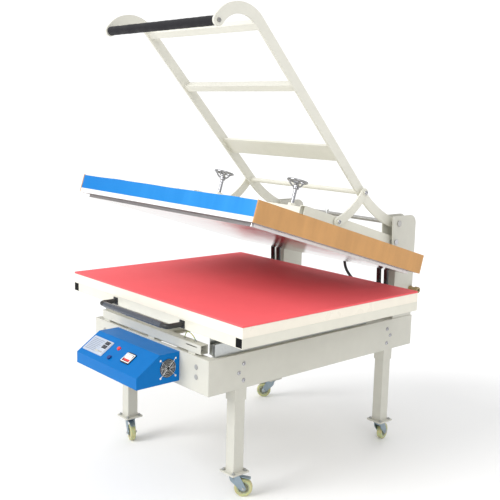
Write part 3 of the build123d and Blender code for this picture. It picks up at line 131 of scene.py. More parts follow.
# ---- shapes ---------------------------------------------------------------------------------------
class Piece:
    """Gathers bevelled blocks, turned shapes, plates and tubes into one mesh."""

    def __init__(self):
        self.bm = bmesh.new()

    def take(self, bm, place, material=0):
        """Adds a finished shape, moved to its place."""
        bmesh.ops.remove_doubles(bm, verts=bm.verts, dist=1e-6)
        bmesh.ops.recalc_face_normals(bm, faces=bm.faces)
        bmesh.ops.transform(bm, matrix=place, verts=bm.verts)
        for face in bm.faces:
            face.material_index = material
        mesh = bpy.data.meshes.new("part")
        bm.to_mesh(mesh)
        bm.free()
        self.bm.from_mesh(mesh)
        bpy.data.meshes.remove(mesh)

    def block(self, low, high, place=Matrix.Identity(4), bevel=0.0, segments=2, material=0):
        """A box between two corners with rounded edges."""
        low, high = Vector(low), Vector(high)
        bm = bmesh.new()
        size = Matrix.Diagonal((*(high - low), 1))
        bmesh.ops.create_cube(bm, size=1, matrix=Matrix.Translation((low + high) / 2) @ size)
        if bevel:
            bmesh.ops.bevel(
                bm,
                geom=bm.edges[:],
                offset=bevel,
                affect="EDGES",
                segments=segments,
                profile=0.5,
                material=-1,
            )
        self.take(bm, place, material)

    def turned(self, profile, place=Matrix.Identity(4), steps=32, material=0):
        """A shape turned round the place's z axis, from points (radius, height)."""
        bm = bmesh.new()
        points = [bm.verts.new((radius, 0, height)) for radius, height in profile]
        edges = [bm.edges.new(pair) for pair in zip(points, points[1:])]
        bmesh.ops.spin(
            bm,
            geom=points + edges,
            cent=(0, 0, 0),
            axis=(0, 0, 1),
            angle=2 * math.pi,
            steps=steps,
            use_merge=True,
            use_duplicate=False,
        )
        self.take(bm, place, material)

    def ring(self, radius, wire, place=Matrix.Identity(4), steps=48, sides=10, material=0):
        """A round wire ring about the place's z axis."""
        bm = bmesh.new()
        made = bmesh.ops.create_circle(
            bm,
            cap_ends=False,
            radius=wire,
            segments=sides,
            matrix=Matrix.Translation((radius, 0, 0)) @ Matrix.Rotation(math.pi / 2, 4, "X"),
        )
        edges = list({edge for vertex in made["verts"] for edge in vertex.link_edges})
        bmesh.ops.spin(
            bm,
            geom=made["verts"] + edges,
            cent=(0, 0, 0),
            axis=(0, 0, 1),
            angle=2 * math.pi,
            steps=steps,
            use_merge=True,
            use_duplicate=False,
        )
        self.take(bm, place, material)

    def plate(self, outline, low, high, place=Matrix.Identity(4), corner=0.0, bevel=0.0, material=0):
        """A plate with a rounded outline in x and y, from one height to another."""
        bm = bmesh.new()
        face = bm.faces.new([bm.verts.new((x, y, low)) for x, y in outline])
        if corner:
            bmesh.ops.bevel(
                bm, geom=face.verts[:], offset=corner, affect="VERTICES", segments=5, profile=0.5, material=-1
            )
        made = bmesh.ops.extrude_face_region(bm, geom=bm.faces[:])
        moved = [item for item in made["geom"] if isinstance(item, bmesh.types.BMVert)]
        bmesh.ops.translate(bm, verts=moved, vec=(0, 0, high - low))
        if bevel:
            rims = [edge for edge in bm.edges if abs(edge.verts[0].co.z - edge.verts[1].co.z) < 1e-7]
            bmesh.ops.bevel(
                bm, geom=rims, offset=bevel, affect="EDGES", segments=2, profile=0.5, material=-1
            )
        self.take(bm, place, material)

    def wire(self, points, radius, place=Matrix.Identity(4), smooth=False, sides=4, material=0):
        """A round rod through points."""
        curve = bpy.data.curves.new("rod", "CURVE")
        curve.dimensions = "3D"
        curve.bevel_depth = radius
        curve.bevel_resolution = sides
        curve.use_fill_caps = True
        spline = curve.splines.new("NURBS" if smooth else "POLY")
        spline.points.add(len(points) - 1)
        for point, co in zip(spline.points, points):
            point.co = (*co, 1)
        if smooth:
            spline.order_u = 3
            spline.use_endpoint_u = True
            spline.resolution_u = 8
        holder = bpy.data.objects.new("rod", curve)
        bpy.context.scene.collection.objects.link(holder)
        mesh = bpy.data.meshes.new_from_object(holder)
        bpy.data.objects.remove(holder)
        bm = bmesh.new()
        bm.from_mesh(mesh)
        bpy.data.meshes.remove(mesh)
        self.take(bm, place, material)

    def hexagon(self, radius, low, high, place=Matrix.Identity(4), material=0):
        """A chamfered hexagon head or nut."""
        bm = bmesh.new()
        bmesh.ops.create_cone(
            bm,
            cap_ends=True,
            segments=6,
            radius1=radius,
            radius2=radius,
            depth=high - low,
            matrix=Matrix.Translation((0, 0, (low + high) / 2)),
        )
        bmesh.ops.bevel(
            bm,
            geom=bm.edges[:],
            offset=radius * 0.09,
            affect="EDGES",
            segments=2,
            profile=0.5,
            material=-1,
        )
        self.take(bm, place, material)

    def finish(self, name, materials, body, slot, replaces=(), smooth=35):
        """Makes the object, which moves with a body when one is given."""
        mesh = bpy.data.meshes.new(name)
        self.bm.to_mesh(mesh)
        self.bm.free()
        for material in materials:
            mesh.materials.append(finish_named(material))
        mesh.polygons.foreach_set("use_smooth", [True] * len(mesh.polygons))
        mesh.set_sharp_from_angle(angle=math.radians(smooth))
        piece = bpy.data.objects.new(name, mesh)
        bpy.context.scene.collection.objects.link(piece)
        if body:
            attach(piece, body)
        if replaces:
            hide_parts(*replaces)
        return piece


def facing(spot, direction):
    """Axes at a point with z along a direction."""
    turn = Vector(direction).to_track_quat("Z", "Y").to_matrix().to_4x4()
    return Matrix.Translation(Vector(spot)) @ turn


def dome_bolt(piece, place, radius, height, material=0):
    """A domed bolt head with a hexagon socket, on a thin washer."""
    rim = radius * 1.18
    profile = [(rim, 0), (rim, 0.0008), (radius, 0.0009), (radius, height * 0.35)]
    profile += [(radius * 0.93, height * 0.6), (radius * 0.75, height * 0.86), (radius * 0.45, height)]
    profile += [(radius * 0.4, height), (radius * 0.38, height * 0.45), (0, height * 0.45)]
    piece.turned(profile, place, steps=28, material=material)


# ---- finishes -------------------------------------------------------------------------------------
class Graph:
    """Adds and joins shader nodes."""

    def __init__(self, tree):
        self.tree = tree

    def add(self, kind, inputs=None, **settings):
        """A node with its settings, and inputs that are values or other nodes' outputs."""
        node = self.tree.nodes.new(kind)
        for key, value in settings.items():
            setattr(node, key, value)
        for key, value in (inputs or {}).items():
            if isinstance(value, bpy.types.NodeSocket):
                self.tree.links.new(value, node.inputs[key])
            else:
                node.inputs[key].default_value = value
        return node

    def noise(self, vector, scale, detail=2.0, roughness=0.5):
        node = self.add("ShaderNodeTexNoise", {"Vector": vector, "Scale": scale, "Detail": detail})
        node.inputs["Roughness"].default_value = roughness
        return node.outputs[0]

    def range(self, value, low, high, to_low=0.0, to_high=1.0):
        inputs = {0: value, 1: low, 2: high, 3: to_low, 4: to_high}
        return self.add("ShaderNodeMapRange", inputs).outputs[0]

    def maths(self, operation, first, second=0.0):
        return self.add("ShaderNodeMath", {0: first, 1: second}, operation=operation).outputs[0]

    def mix(self, factor, first, second):
        return self.add("ShaderNodeMix", {0: factor, 6: first, 7: second}, data_type="RGBA").outputs[2]


def effect(name, inputs, outputs, build):
    """A shader node group, built once."""
    tree = bpy.data.node_groups.get(name)
    if tree:
        return tree
    tree = bpy.data.node_groups.new(name, "ShaderNodeTree")
    for label, kind, value in inputs:
        socket = tree.interface.new_socket(name=label, in_out="INPUT", socket_type=kind)
        if value is not None:
            socket.default_value = value
    for label, kind in outputs:
        tree.interface.new_socket(name=label, in_out="OUTPUT", socket_type=kind)
    graph = Graph(tree)
    source = graph.add("NodeGroupInput").outputs
    made = build(graph, source)
    graph.add("NodeGroupOutput", dict(made))
    return tree


VECTOR, NUMBER, COLOUR = "NodeSocketVector", "NodeSocketFloat", "NodeSocketColor"


def build_tint(graph, source):
    broad = graph.noise(source["Vector"], source["Scale"], 4.0, 0.6)
    fine = graph.noise(source["Vector"], graph.maths("MULTIPLY", source["Scale"], 9.0), 3.0)
    both = graph.maths("ADD", graph.maths("MULTIPLY", broad, 0.7), graph.maths("MULTIPLY", fine, 0.3))
    mask = graph.range(both, 0.32, 0.68)
    return {"Mask": mask, "Colour": graph.mix(mask, source["First"], source["Second"])}


def build_wear(graph, source):
    round_edge = graph.add("ShaderNodeBevel", {"Radius": source["Radius"]}, samples=4)
    flat = graph.add("ShaderNodeNewGeometry")
    inputs = {0: round_edge.outputs[0], 1: flat.outputs["Normal"]}
    turn = graph.add("ShaderNodeVectorMath", inputs, operation="DOT_PRODUCT").outputs["Value"]
    edge = graph.range(turn, 0.985, 0.80)
    patchy = graph.range(graph.noise(source["Vector"], source["Scale"], 5.0, 0.7), 0.48, 0.62)
    return {"Mask": graph.maths("MULTIPLY", edge, patchy), "Edge": edge, "Normal": round_edge.outputs[0]}


def build_dust(graph, source):
    flat = graph.add("ShaderNodeNewGeometry")
    up = graph.add("ShaderNodeSeparateXYZ", {0: flat.outputs["Normal"]}).outputs["Z"]
    level = graph.range(up, 0.55, 1.0)
    cloud = graph.range(graph.noise(source["Vector"], source["Scale"], 6.0, 0.65), 0.42, 0.75)
    return {"Mask": graph.maths("MULTIPLY", graph.maths("MULTIPLY", level, cloud), source["Amount"])}


def build_peel(graph, source):
    coarse = graph.noise(source["Vector"], source["Scale"], 2.0, 0.5)
    fine = graph.noise(source["Vector"], graph.maths("MULTIPLY", source["Scale"], 3.1), 1.0)
    total = graph.maths("ADD", coarse, graph.maths("MULTIPLY", fine, 0.35))
    return {"Height": total}


def build_grain(graph, source):
    stretched = graph.add("ShaderNodeMapping", {"Vector": source["Vector"], "Scale": source["Stretch"]})
    lines = graph.noise(stretched.outputs[0], source["Scale"], 3.0, 0.7)
    return {"Mask": graph.range(lines, 0.3, 0.7), "Height": lines}


def effects():
    """The shared node groups, by name."""
    place = ("Vector", VECTOR, None)
    return {
        "tint": effect(
            "Tint variation",
            [
                place, ("Scale", NUMBER, 3.0), ("First", COLOUR, (1, 1, 1, 1)),
                ("Second", COLOUR, (1, 1, 1, 1)),
            ],
            [("Mask", NUMBER), ("Colour", COLOUR)],
            build_tint,
        ),
        "wear": effect(
            "Edge wear",
            [place, ("Scale", NUMBER, 60.0), ("Radius", NUMBER, 0.001)],
            [("Mask", NUMBER), ("Edge", NUMBER), ("Normal", VECTOR)],
            build_wear,
        ),
        "dust": effect(
            "Settled dust",
            [place, ("Scale", NUMBER, 5.0), ("Amount", NUMBER, 0.2)],
            [("Mask", NUMBER)],
            build_dust,
        ),
        "peel": effect("Orange peel", [place, ("Scale", NUMBER, 500.0)], [("Height", NUMBER)], build_peel),
        "grain": effect(
            "Directional grain",
            [place, ("Stretch", VECTOR, (1, 1, 1)), ("Scale", NUMBER, 40.0)],
            [("Mask", NUMBER), ("Height", NUMBER)],
            build_grain,
        ),
    }


def shade(colour, factor):
    """A colour made darker or lighter, with its alpha."""
    return (*[min(1.0, channel * factor) for channel in colour[:3]], 1.0)


class Finish:
    """A material under way: its graph, its shader and the object's coordinates."""

    def __init__(self, name, metallic=0.0, **sockets):
        self.material = bpy.data.materials.new(name)
        self.material.use_nodes = True
        self.graph = Graph(self.material.node_tree)
        self.shader = self.material.node_tree.nodes["Principled BSDF"]
        self.shader.inputs["Metallic"].default_value = metallic
        for key, value in sockets.items():
            self.shader.inputs[key.replace("_", " ")].default_value = value
        self.place = self.graph.add("ShaderNodeTexCoord").outputs["Object"]

    def turned(self, rotation=(0, 0, 0), scale=(1, 1, 1)):
        """The object's coordinates, turned and stretched."""
        inputs = {"Vector": self.place, "Rotation": rotation, "Scale": scale}
        return self.graph.add("ShaderNodeMapping", inputs).outputs[0]

    def effect(self, name, **inputs):
        """One of the shared effects, read at the object's coordinates."""
        node = self.graph.add("ShaderNodeGroup", node_tree=effects()[name])
        for key, value in {"Vector": self.place, **inputs}.items():
            if isinstance(value, bpy.types.NodeSocket):
                self.graph.tree.links.new(value, node.inputs[key])
            else:
                node.inputs[key].default_value = value
        return node.outputs

    def link(self, socket, key):
        self.graph.tree.links.new(socket, self.shader.inputs[key])

    def bump(self, height, strength, distance, normal=None):
        inputs = {"Height": height, "Strength": strength, "Distance": distance}
        if normal is not None:
            inputs["Normal"] = normal
        self.link(self.graph.add("ShaderNodeBump", inputs).outputs[0], "Normal")


def painted(
    name, colour, roughness=0.38, wear=0.35, edge=0.0015, dust=0.12, peel=420.0, coat=0.08, shine=0.4,
    painted_sheen=0.0
):
    """Powder coat on steel: slight tint variation, orange peel, dust on top, chips on the edges, and where
    asked a painted sheen, darker towards -x and lighter towards +x.
    """
    finish = Finish(name, Coat_Weight=coat, Coat_Roughness=0.25, Specular_IOR_Level=shine)
    graph = finish.graph
    tint = finish.effect("tint", Scale=2.2, First=shade(colour, 1.03), Second=shade(colour, 0.93))
    worn = finish.effect("wear", Radius=edge, Scale=70.0)
    dusty = finish.effect("dust", Amount=dust)
    base = tint["Colour"]
    # painted sheen: the base runs from a darker blue at -x to a lighter blue at +x, broken by streaks, in
    # place of the tint colour
    if painted_sheen:
        across = graph.add("ShaderNodeSeparateXYZ", {0: finish.place}).outputs["X"]
        streak = finish.effect("grain", Stretch=(3.0, 0.6, 0.6), Scale=2.6)
        sheen_mask = graph.maths("MULTIPLY", graph.range(across, -0.75, 0.62), painted_sheen)
        sheen_mask = graph.maths("MULTIPLY", sheen_mask, graph.range(streak["Mask"], 0.0, 1.0, 0.6, 1.1))
        base = graph.mix(sheen_mask, shade(colour, 0.88), (0.06, colour[1] * 1.9, min(1.0, colour[2] * 1.35), 1))
    base = graph.mix(dusty["Mask"], base, (0.62, 0.60, 0.56, 1))
    base = graph.mix(graph.maths("MULTIPLY", worn["Mask"], wear), base, (0.33, 0.32, 0.30, 1))
    finish.link(base, "Base Color")
    rough = graph.range(tint["Mask"], 0.0, 1.0, roughness - 0.05, roughness + 0.08)
    finish.link(graph.maths("ADD", rough, graph.maths("MULTIPLY", dusty["Mask"], 0.4)), "Roughness")
    finish.bump(finish.effect("peel", Scale=peel)["Height"], 0.05, 0.0005, worn["Normal"])
    return finish.material


def metal(
    name, colour, roughness, stretch=(1, 1, 1), scale=300.0, edge=0.0008, rust=0.0, contrast=0.12,
    rough_grain=0.06
):
    """Bare or plated metal with fine grain and slight staining."""
    finish = Finish(name, metallic=1.0)
    graph = finish.graph
    tint = finish.effect("tint", Scale=14.0, First=shade(colour, 1.04), Second=shade(colour, 0.86))
    grain = finish.effect("grain", Stretch=stretch, Scale=scale)
    base = tint["Colour"]
    if rust:
        spots = graph.range(graph.noise(finish.place, 55.0, 6.0, 0.7), 0.60, 0.72)
        base = graph.mix(graph.maths("MULTIPLY", spots, rust), base, (0.20, 0.12, 0.07, 1))
    finish.link(base, "Base Color")
    finish.link(graph.range(grain["Mask"], 0.0, 1.0, roughness, roughness + contrast), "Roughness")
    worn = finish.effect("wear", Radius=edge, Scale=80.0)
    finish.bump(grain["Height"], rough_grain, 0.0003, worn["Normal"])
    return finish.material


def plastic(name, colour, roughness, scale=900.0, strength=0.12, edge=0.0008, rub=0.25, **sockets):
    """Moulded plastic with a fine texture and rubbed edges."""
    finish = Finish(name, **sockets)
    graph = finish.graph
    tint = finish.effect("tint", Scale=30.0, First=shade(colour, 1.08), Second=shade(colour, 0.9))
    worn = finish.effect("wear", Radius=edge, Scale=90.0)
    rubbed = graph.maths("MULTIPLY", worn["Mask"], rub)
    finish.link(
        graph.mix(rubbed, tint["Colour"], shade([channel + 0.12 for channel in colour[:3]], 1.0)),
        "Base Color"
    )
    finish.link(graph.range(tint["Mask"], 0.0, 1.0, roughness - 0.04, roughness + 0.06), "Roughness")
    finish.bump(finish.effect("peel", Scale=scale)["Height"], strength, 0.0003, worn["Normal"])
    return finish.material


def fibre_board(name, colour):
    """Brown pressed fibre board with upright flutes showing through and fine flecks."""
    finish = Finish(name, Specular_IOR_Level=0.25)
    graph = finish.graph
    level = finish.turned(rotation=(tilt, 0, 0))
    flutes = finish.effect("grain", Vector=level, Stretch=(0.2, 1.0, 0.18), Scale=15.0)
    cloud = graph.noise(level, 9.0, 5.0, 0.6)
    flecks = graph.range(graph.noise(level, 420.0, 2.0), 0.60, 0.72)
    mask = graph.maths(
        "ADD", graph.maths("MULTIPLY", flutes["Mask"], 0.55), graph.maths("MULTIPLY", cloud, 0.45),
    )
    base = graph.mix(mask, shade(colour, 0.84), shade(colour, 1.10))
    base = graph.mix(graph.maths("MULTIPLY", flecks, 0.35), base, shade(colour, 0.55))
    finish.link(base, "Base Color")
    finish.link(graph.range(cloud, 0.3, 0.7, 0.58, 0.76), "Roughness")
    worn = finish.effect("wear", Radius=0.001, Scale=60.0)
    height = graph.maths(
        "ADD", graph.maths("MULTIPLY", flutes["Height"], 0.7), graph.maths("MULTIPLY", flecks, 0.15),
    )
    finish.bump(height, 0.22, 0.0008, worn["Normal"])
    return finish.material


def silicone(name, colour):
    """Matt silicone rubber: fine grain, faint press marks, painted shade darkening it towards the rear, a
    bloom towards grazing.
    """
    finish = Finish(name, Specular_IOR_Level=0.12, Sheen_Weight=0.04, Sheen_Roughness=0.5)
    graph = finish.graph
    along = graph.add("ShaderNodeSeparateXYZ", {0: finish.place}).outputs["Y"]
    # painted shade: front rises from the pad's front edge to its rear, and through the mask it darkens the
    # rear under the upper platen
    front = graph.range(along, -0.5, 0.5)
    marks = graph.noise(finish.place, 2.1, 5.0, 0.6)
    # the mask mixes this painted shade with real press marks
    mask = graph.maths("ADD", graph.maths("MULTIPLY", front, 0.2), graph.maths("MULTIPLY", marks, 0.3))
    base = graph.mix(mask, shade(colour, 1.04), shade(colour, 0.72))
    specks = graph.range(graph.noise(finish.place, 300.0, 2.0), 0.62, 0.74)
    base = graph.mix(graph.maths("MULTIPLY", specks, 0.14), base, shade(colour, 0.6))
    finish.link(base, "Base Color")
    finish.link(graph.range(marks, 0.3, 0.7, 0.55, 0.68), "Roughness")
    weave = graph.noise(finish.place, 750.0, 2.0)
    finish.bump(graph.maths("ADD", weave, graph.maths("MULTIPLY", marks, 1.5)), 0.16, 0.0006)
    return finish.material


def foam(name, colour):
    """Closed-cell foam rubber with open pores."""
    finish = Finish(name, Specular_IOR_Level=0.2, Sheen_Weight=0.06)
    graph = finish.graph
    cells = graph.add("ShaderNodeTexVoronoi", {"Vector": finish.place, "Scale": 420.0}).outputs[0]
    pores = graph.range(cells, 0.12, 0.42)
    cloud = graph.noise(finish.place, 22.0, 4.0)
    base = graph.mix(pores, shade(colour, 0.5), shade(colour, 1.3))
    finish.link(graph.mix(graph.range(cloud, 0.4, 0.7, 0.0, 0.35), base, shade(colour, 1.9)), "Base Color")
    finish.link(graph.range(cloud, 0.3, 0.7, 0.55, 0.8), "Roughness")
    finish.bump(pores, 0.3, 0.0005)
    return finish.material


def polished_plate(name, colour):
    """Ground aluminium: bright, with long machining streaks and faint heat tint."""
    finish = Finish(name, metallic=1.0)
    graph = finish.graph
    streaks = finish.effect("grain", Stretch=(0.5, 10.0, 10.0), Scale=9.0)
    heat = graph.range(graph.noise(finish.place, 2.4, 4.0), 0.4, 0.75)
    base = graph.mix(streaks["Mask"], shade(colour, 0.84), shade(colour, 1.10))
    base = graph.mix(graph.maths("MULTIPLY", heat, 0.22), base, (0.66, 0.55, 0.42, 1))
    finish.link(base, "Base Color")
    finish.link(graph.range(streaks["Mask"], 0.0, 1.0, 0.10, 0.22), "Roughness")
    worn = finish.effect("wear", Radius=0.0015, Scale=60.0)
    finish.bump(streaks["Height"], 0.22, 0.0012, worn["Normal"])
    return finish.material


def glass_cloth(name, colour):
    """Woven glass-fibre blanket."""
    finish = Finish(name, Sheen_Weight=0.4)
    graph = finish.graph
    parts = graph.add("ShaderNodeSeparateXYZ", {0: finish.place}).outputs
    warp = graph.maths("SINE", graph.maths("MULTIPLY", parts["X"], 1900.0))
    weft = graph.maths("SINE", graph.maths("MULTIPLY", parts["Y"], 1900.0))
    weave = graph.range(graph.maths("MULTIPLY", warp, weft), -1.0, 1.0)
    base = graph.mix(weave, shade(colour, 0.75), shade(colour, 1.1))
    finish.link(base, "Base Color")
    finish.link(graph.range(weave, 0.0, 1.0, 0.7, 0.9), "Roughness")
    finish.bump(weave, 0.4, 0.0008)
    return finish.material


def front_white(name, white, grey):
    """Enamelled steel, white on its front face and grey behind it, the grey being painted shade on the
    underside and back.
    """
    finish = Finish(name, Coat_Weight=0.1)
    graph = finish.graph
    pivot = JOINTS["platen_tilt"]["pos_m"]
    parts = graph.add("ShaderNodeSeparateXYZ", {0: finish.place}).outputs
    along = graph.maths("MULTIPLY", graph.maths("SUBTRACT", parts["Y"], pivot[1]), math.cos(tilt))
    drop = graph.maths("MULTIPLY", graph.maths("SUBTRACT", parts["Z"], pivot[2]), math.sin(tilt))
    front = span("heater_trim", LIFT)[0].y + 0.0006
    mask = graph.maths("LESS_THAN", graph.maths("SUBTRACT", along, drop), front)
    tint = finish.effect("tint", Scale=3.0, First=shade(white, 1.03), Second=shade(white, 0.93))
    # painted shade: every face behind the front face takes the dark grey
    shaded_grey = finish.effect("tint", Scale=9.0, First=shade(grey, 1.15), Second=shade(grey, 0.8))
    finish.link(graph.mix(mask, shaded_grey["Colour"], tint["Colour"]), "Base Color")
    finish.link(graph.range(tint["Mask"], 0.0, 1.0, 0.25, 0.36), "Roughness")
    worn = finish.effect("wear", Radius=0.001, Scale=70.0)
    finish.bump(finish.effect("peel", Scale=420.0)["Height"], 0.05, 0.0005, worn["Normal"])
    return finish.material


def two_tone_rocker(name, upper, lower):
    """Moulded paddle, white above and red at its lower end."""
    finish = Finish(name, Coat_Weight=0.4)
    graph = finish.graph
    upright = graph.add("ShaderNodeSeparateXYZ", {0: finish.place}).outputs["Z"]
    split = rocker_spot.z + 0.0006
    mask = graph.range(upright, split - 0.0003, split + 0.0003)
    tint = finish.effect("tint", Scale=60.0, First=(1, 1, 1, 1), Second=(0.86, 0.86, 0.86, 1))
    mixed = graph.mix(mask, (*lower[:3], 1), (*upper[:3], 1))
    inputs = {0: 1.0, 6: mixed, 7: tint["Colour"]}
    base = graph.add("ShaderNodeMix", inputs, data_type="RGBA", blend_type="MULTIPLY").outputs[2]
    finish.link(base, "Base Color")
    finish.link(graph.range(tint["Mask"], 0.0, 1.0, 0.24, 0.34), "Roughness")
    worn = finish.effect("wear", Radius=0.0006, Scale=90.0)
    finish.bump(finish.effect("peel", Scale=1400.0)["Height"], 0.05, 0.0002, worn["Normal"])
    return finish.material


def tyre(name, colour):
    """Cast polyurethane, slightly cloudy, with floor scuffs."""
    finish = Finish(name, Subsurface_Weight=0.35, Subsurface_Scale=0.01, Coat_Weight=0.2)
    graph = finish.graph
    cloud = graph.noise(finish.place, 35.0, 4.0)
    scuffs = graph.range(graph.noise(finish.place, 160.0, 6.0, 0.75), 0.55, 0.70)
    base = graph.mix(cloud, shade(colour, 0.82), shade(colour, 1.12))
    finish.link(graph.mix(graph.maths("MULTIPLY", scuffs, 0.35), base, (0.22, 0.21, 0.15, 1)), "Base Color")
    finish.link(graph.range(cloud, 0.3, 0.7, 0.28, 0.45), "Roughness")
    finish.bump(scuffs, 0.1, 0.0004)
    return finish.material


def lens(name, colour, glow):
    """Coloured lamp lens, faintly lit, with moulded facets."""
    finish = Finish(name, Coat_Weight=0.6, Emission_Strength=glow)
    graph = finish.graph
    cells = graph.add("ShaderNodeTexVoronoi", {"Vector": finish.place, "Scale": 700.0}).outputs[0]
    base = graph.mix(graph.range(cells, 0.1, 0.6), shade(colour, 1.15), shade(colour, 0.75))
    finish.link(base, "Base Color")
    finish.link(base, "Emission Color")
    finish.link(graph.range(cells, 0.0, 0.7, 0.12, 0.28), "Roughness")
    finish.bump(cells, 0.15, 0.0004)
    return finish.material


def printed_panel(name, colour):
    """Silver-grey plastic film with a faint dotted texture."""
    finish = Finish(name, metallic=0.25)
    graph = finish.graph
    dots = graph.add("ShaderNodeTexVoronoi", {"Vector": finish.place, "Scale": 900.0}).outputs[0]
    cloud = graph.noise(finish.place, 18.0, 4.0)
    base = graph.mix(graph.range(dots, 0.1, 0.5), shade(colour, 0.93), shade(colour, 1.05))
    finish.link(graph.mix(graph.range(cloud, 0.4, 0.7, 0.0, 0.15), base, shade(colour, 0.8)), "Base Color")
    finish.link(graph.range(cloud, 0.3, 0.7, 0.36, 0.5), "Roughness")
    worn = finish.effect("wear", Radius=0.0008, Scale=80.0)
    finish.bump(dots, 0.06, 0.0002, worn["Normal"])
    return finish.material


def striped_sheath(name, first, second):
    """Two-colour wire insulation."""
    finish = Finish(name, Coat_Weight=0.2)
    graph = finish.graph
    parts = graph.add("ShaderNodeSeparateXYZ", {0: finish.place}).outputs
    wave = graph.maths("SINE", graph.maths("MULTIPLY", graph.maths("ADD", parts["X"], parts["Z"]), 900.0))
    finish.link(graph.mix(graph.range(wave, -0.1, 0.1), (*first, 1), (*second, 1)), "Base Color")
    cloud = graph.noise(finish.place, 150.0, 3.0)
    finish.link(graph.range(cloud, 0.3, 0.7, 0.35, 0.5), "Roughness")
    finish.bump(cloud, 0.1, 0.0003)
    return finish.material


MAKERS = {
    "base paint": lambda c: painted("base paint", c.base_paint, roughness=0.40),
    "frame paint": lambda c: painted("frame paint", c.frame_paint, roughness=0.36),
    "tray paint": lambda c: painted("tray paint", c.tray_paint, roughness=0.34),
    "table paint": lambda c: painted("table paint", c.table_paint, roughness=0.30),
    "blue paint": lambda c: painted(
        "blue paint", c.blue_paint, roughness=0.34, wear=0.2, coat=0.03, dust=0.0, shine=0.12,
    ),
    # painted sheen on the cover blue, lighter towards +x
    "cover blue": lambda c: painted(
        "cover blue", c.cover_blue, painted_sheen=0.55, roughness=0.32, wear=0.15, coat=0.04, dust=0.0, shine=0.15,
    ),
    # painted shade: dark grey for the white trim's underside and back
    "white trim": lambda c: front_white("white trim", c.white_trim, (0.24, 0.225, 0.22)),
    "white plastic": lambda c: plastic("white plastic", (0.86, 0.86, 0.86), 0.3),
    "strut black": lambda c: painted(
        "strut black", (0.012, 0.012, 0.013), roughness=0.16, wear=0.1, dust=0.0, coat=0.6,
    ),
    "turned steel": lambda c: metal("turned steel", (0.52, 0.51, 0.49), 0.26, (40, 1, 1), 20.0, rust=0.15),
    "chrome": lambda c: metal(
        "chrome", (0.52, 0.52, 0.54), 0.09, contrast=0.08, edge=0.0005, rough_grain=0.01,
    ),
    "guard chrome": lambda c: metal("guard chrome", (0.85, 0.85, 0.86), 0.12, contrast=0.06, edge=0.0003),
    "wheel chrome": lambda c: metal(
        "wheel chrome", (0.40, 0.40, 0.42), 0.14, contrast=0.06, edge=0.0005, rough_grain=0.0,
    ),
    "screw cap": lambda c: plastic("screw cap", (0.34, 0.34, 0.33), 0.35, rub=0.1),
    "screw zinc": lambda c: metal("screw zinc", (0.50, 0.51, 0.50), 0.30, rust=0.1),
    "slide zinc": lambda c: metal("slide zinc", (0.56, 0.58, 0.57), 0.30, (1, 0.02, 1), 220.0, rust=0.1),
    "castor zinc": lambda c: metal("castor zinc", c.castor_zinc, 0.30, rust=0.18, edge=0.0012, contrast=0.2),
    "aged brass": lambda c: metal("aged brass", (0.46, 0.36, 0.20), 0.34, rust=0.45),
    "element sheath": lambda c: metal("element sheath", (0.25, 0.22, 0.20), 0.45, rust=0.5),
    "weld": lambda c: painted("weld", c.frame_paint, roughness=0.42, wear=0.15, peel=900.0),
    "fibre board": lambda c: fibre_board("fibre board", c.board),
    "silicone": lambda c: silicone("silicone", c.silicone),
    "grip foam": lambda c: foam("grip foam", (0.010, 0.0095, 0.012)),
    "heated plate": lambda c: polished_plate("heated plate", (0.62, 0.58, 0.57)),
    "glass cloth": lambda c: glass_cloth("glass cloth", (0.80, 0.76, 0.66)),
    "black plastic": lambda c: plastic("black plastic", (0.020, 0.020, 0.021), 0.42),
    "handle plastic": lambda c: plastic(
        "handle plastic", (0.065, 0.075, 0.095), 0.28, scale=500.0, strength=0.02, rub=0.03,
    ),
    "plug plastic": lambda c: plastic(
        "plug plastic", (0.003, 0.003, 0.003), 0.6, rub=0.02, Specular_IOR_Level=0.15,
    ),
    "button blue": lambda c: plastic("button blue", (0.010, 0.035, 0.20), 0.18, scale=1500.0, strength=0.03),
    "key plastic": lambda c: plastic("key plastic", (0.62, 0.60, 0.48), 0.35),
    "display": lambda c: plastic("display", (0.010, 0.012, 0.014), 0.12, scale=1500.0, strength=0.02),
    "panel film": lambda c: printed_panel("panel film", c.panel),
    "label film": lambda c: printed_panel("label film", (0.50, 0.56, 0.66)),
    "ink grey": lambda c: plastic("ink grey", (0.20, 0.23, 0.30), 0.5),
    "lamp red": lambda c: lens("lamp red", (0.80, 0.03, 0.02), 0.25),
    "indicator amber": lambda c: lens("indicator amber", (0.62, 0.52, 0.14), 0.2),
    "rocker": lambda c: two_tone_rocker("rocker", (0.88, 0.86, 0.85), (0.72, 0.03, 0.03)),
    "tyre": lambda c: tyre("tyre", c.tyre),
    "hub plastic": lambda c: plastic("hub plastic", (0.34, 0.35, 0.24), 0.4),
    "earth wire": lambda c: striped_sheath("earth wire", (0.55, 0.50, 0.05), (0.05, 0.25, 0.06)),
    "black sheath": lambda c: plastic("black sheath", (0.012, 0.012, 0.013), 0.38, scale=700.0, strength=0.1),
}


def finish_named(name):
    """A material by its name, made when first asked for."""
    return bpy.data.materials.get(name) or MAKERS[name](bpy.context.scene.press_colours)


def paint_node(node, material):
    """Gives a CAD node its finish."""
    data = NODES[node].data
    data.materials.clear()
    data.materials.append(finish_named(material))


# ---- settings -------------------------------------------------------------------------------------
def colour_setting(name, description, default):
    return FloatVectorProperty(
        name=name, description=description, default=default, subtype="COLOR", min=0.0, max=1.0, size=3
    )


def length_setting(name, description, default):
    return FloatProperty(name=name, description=description, default=default, min=0.0, unit="LENGTH")


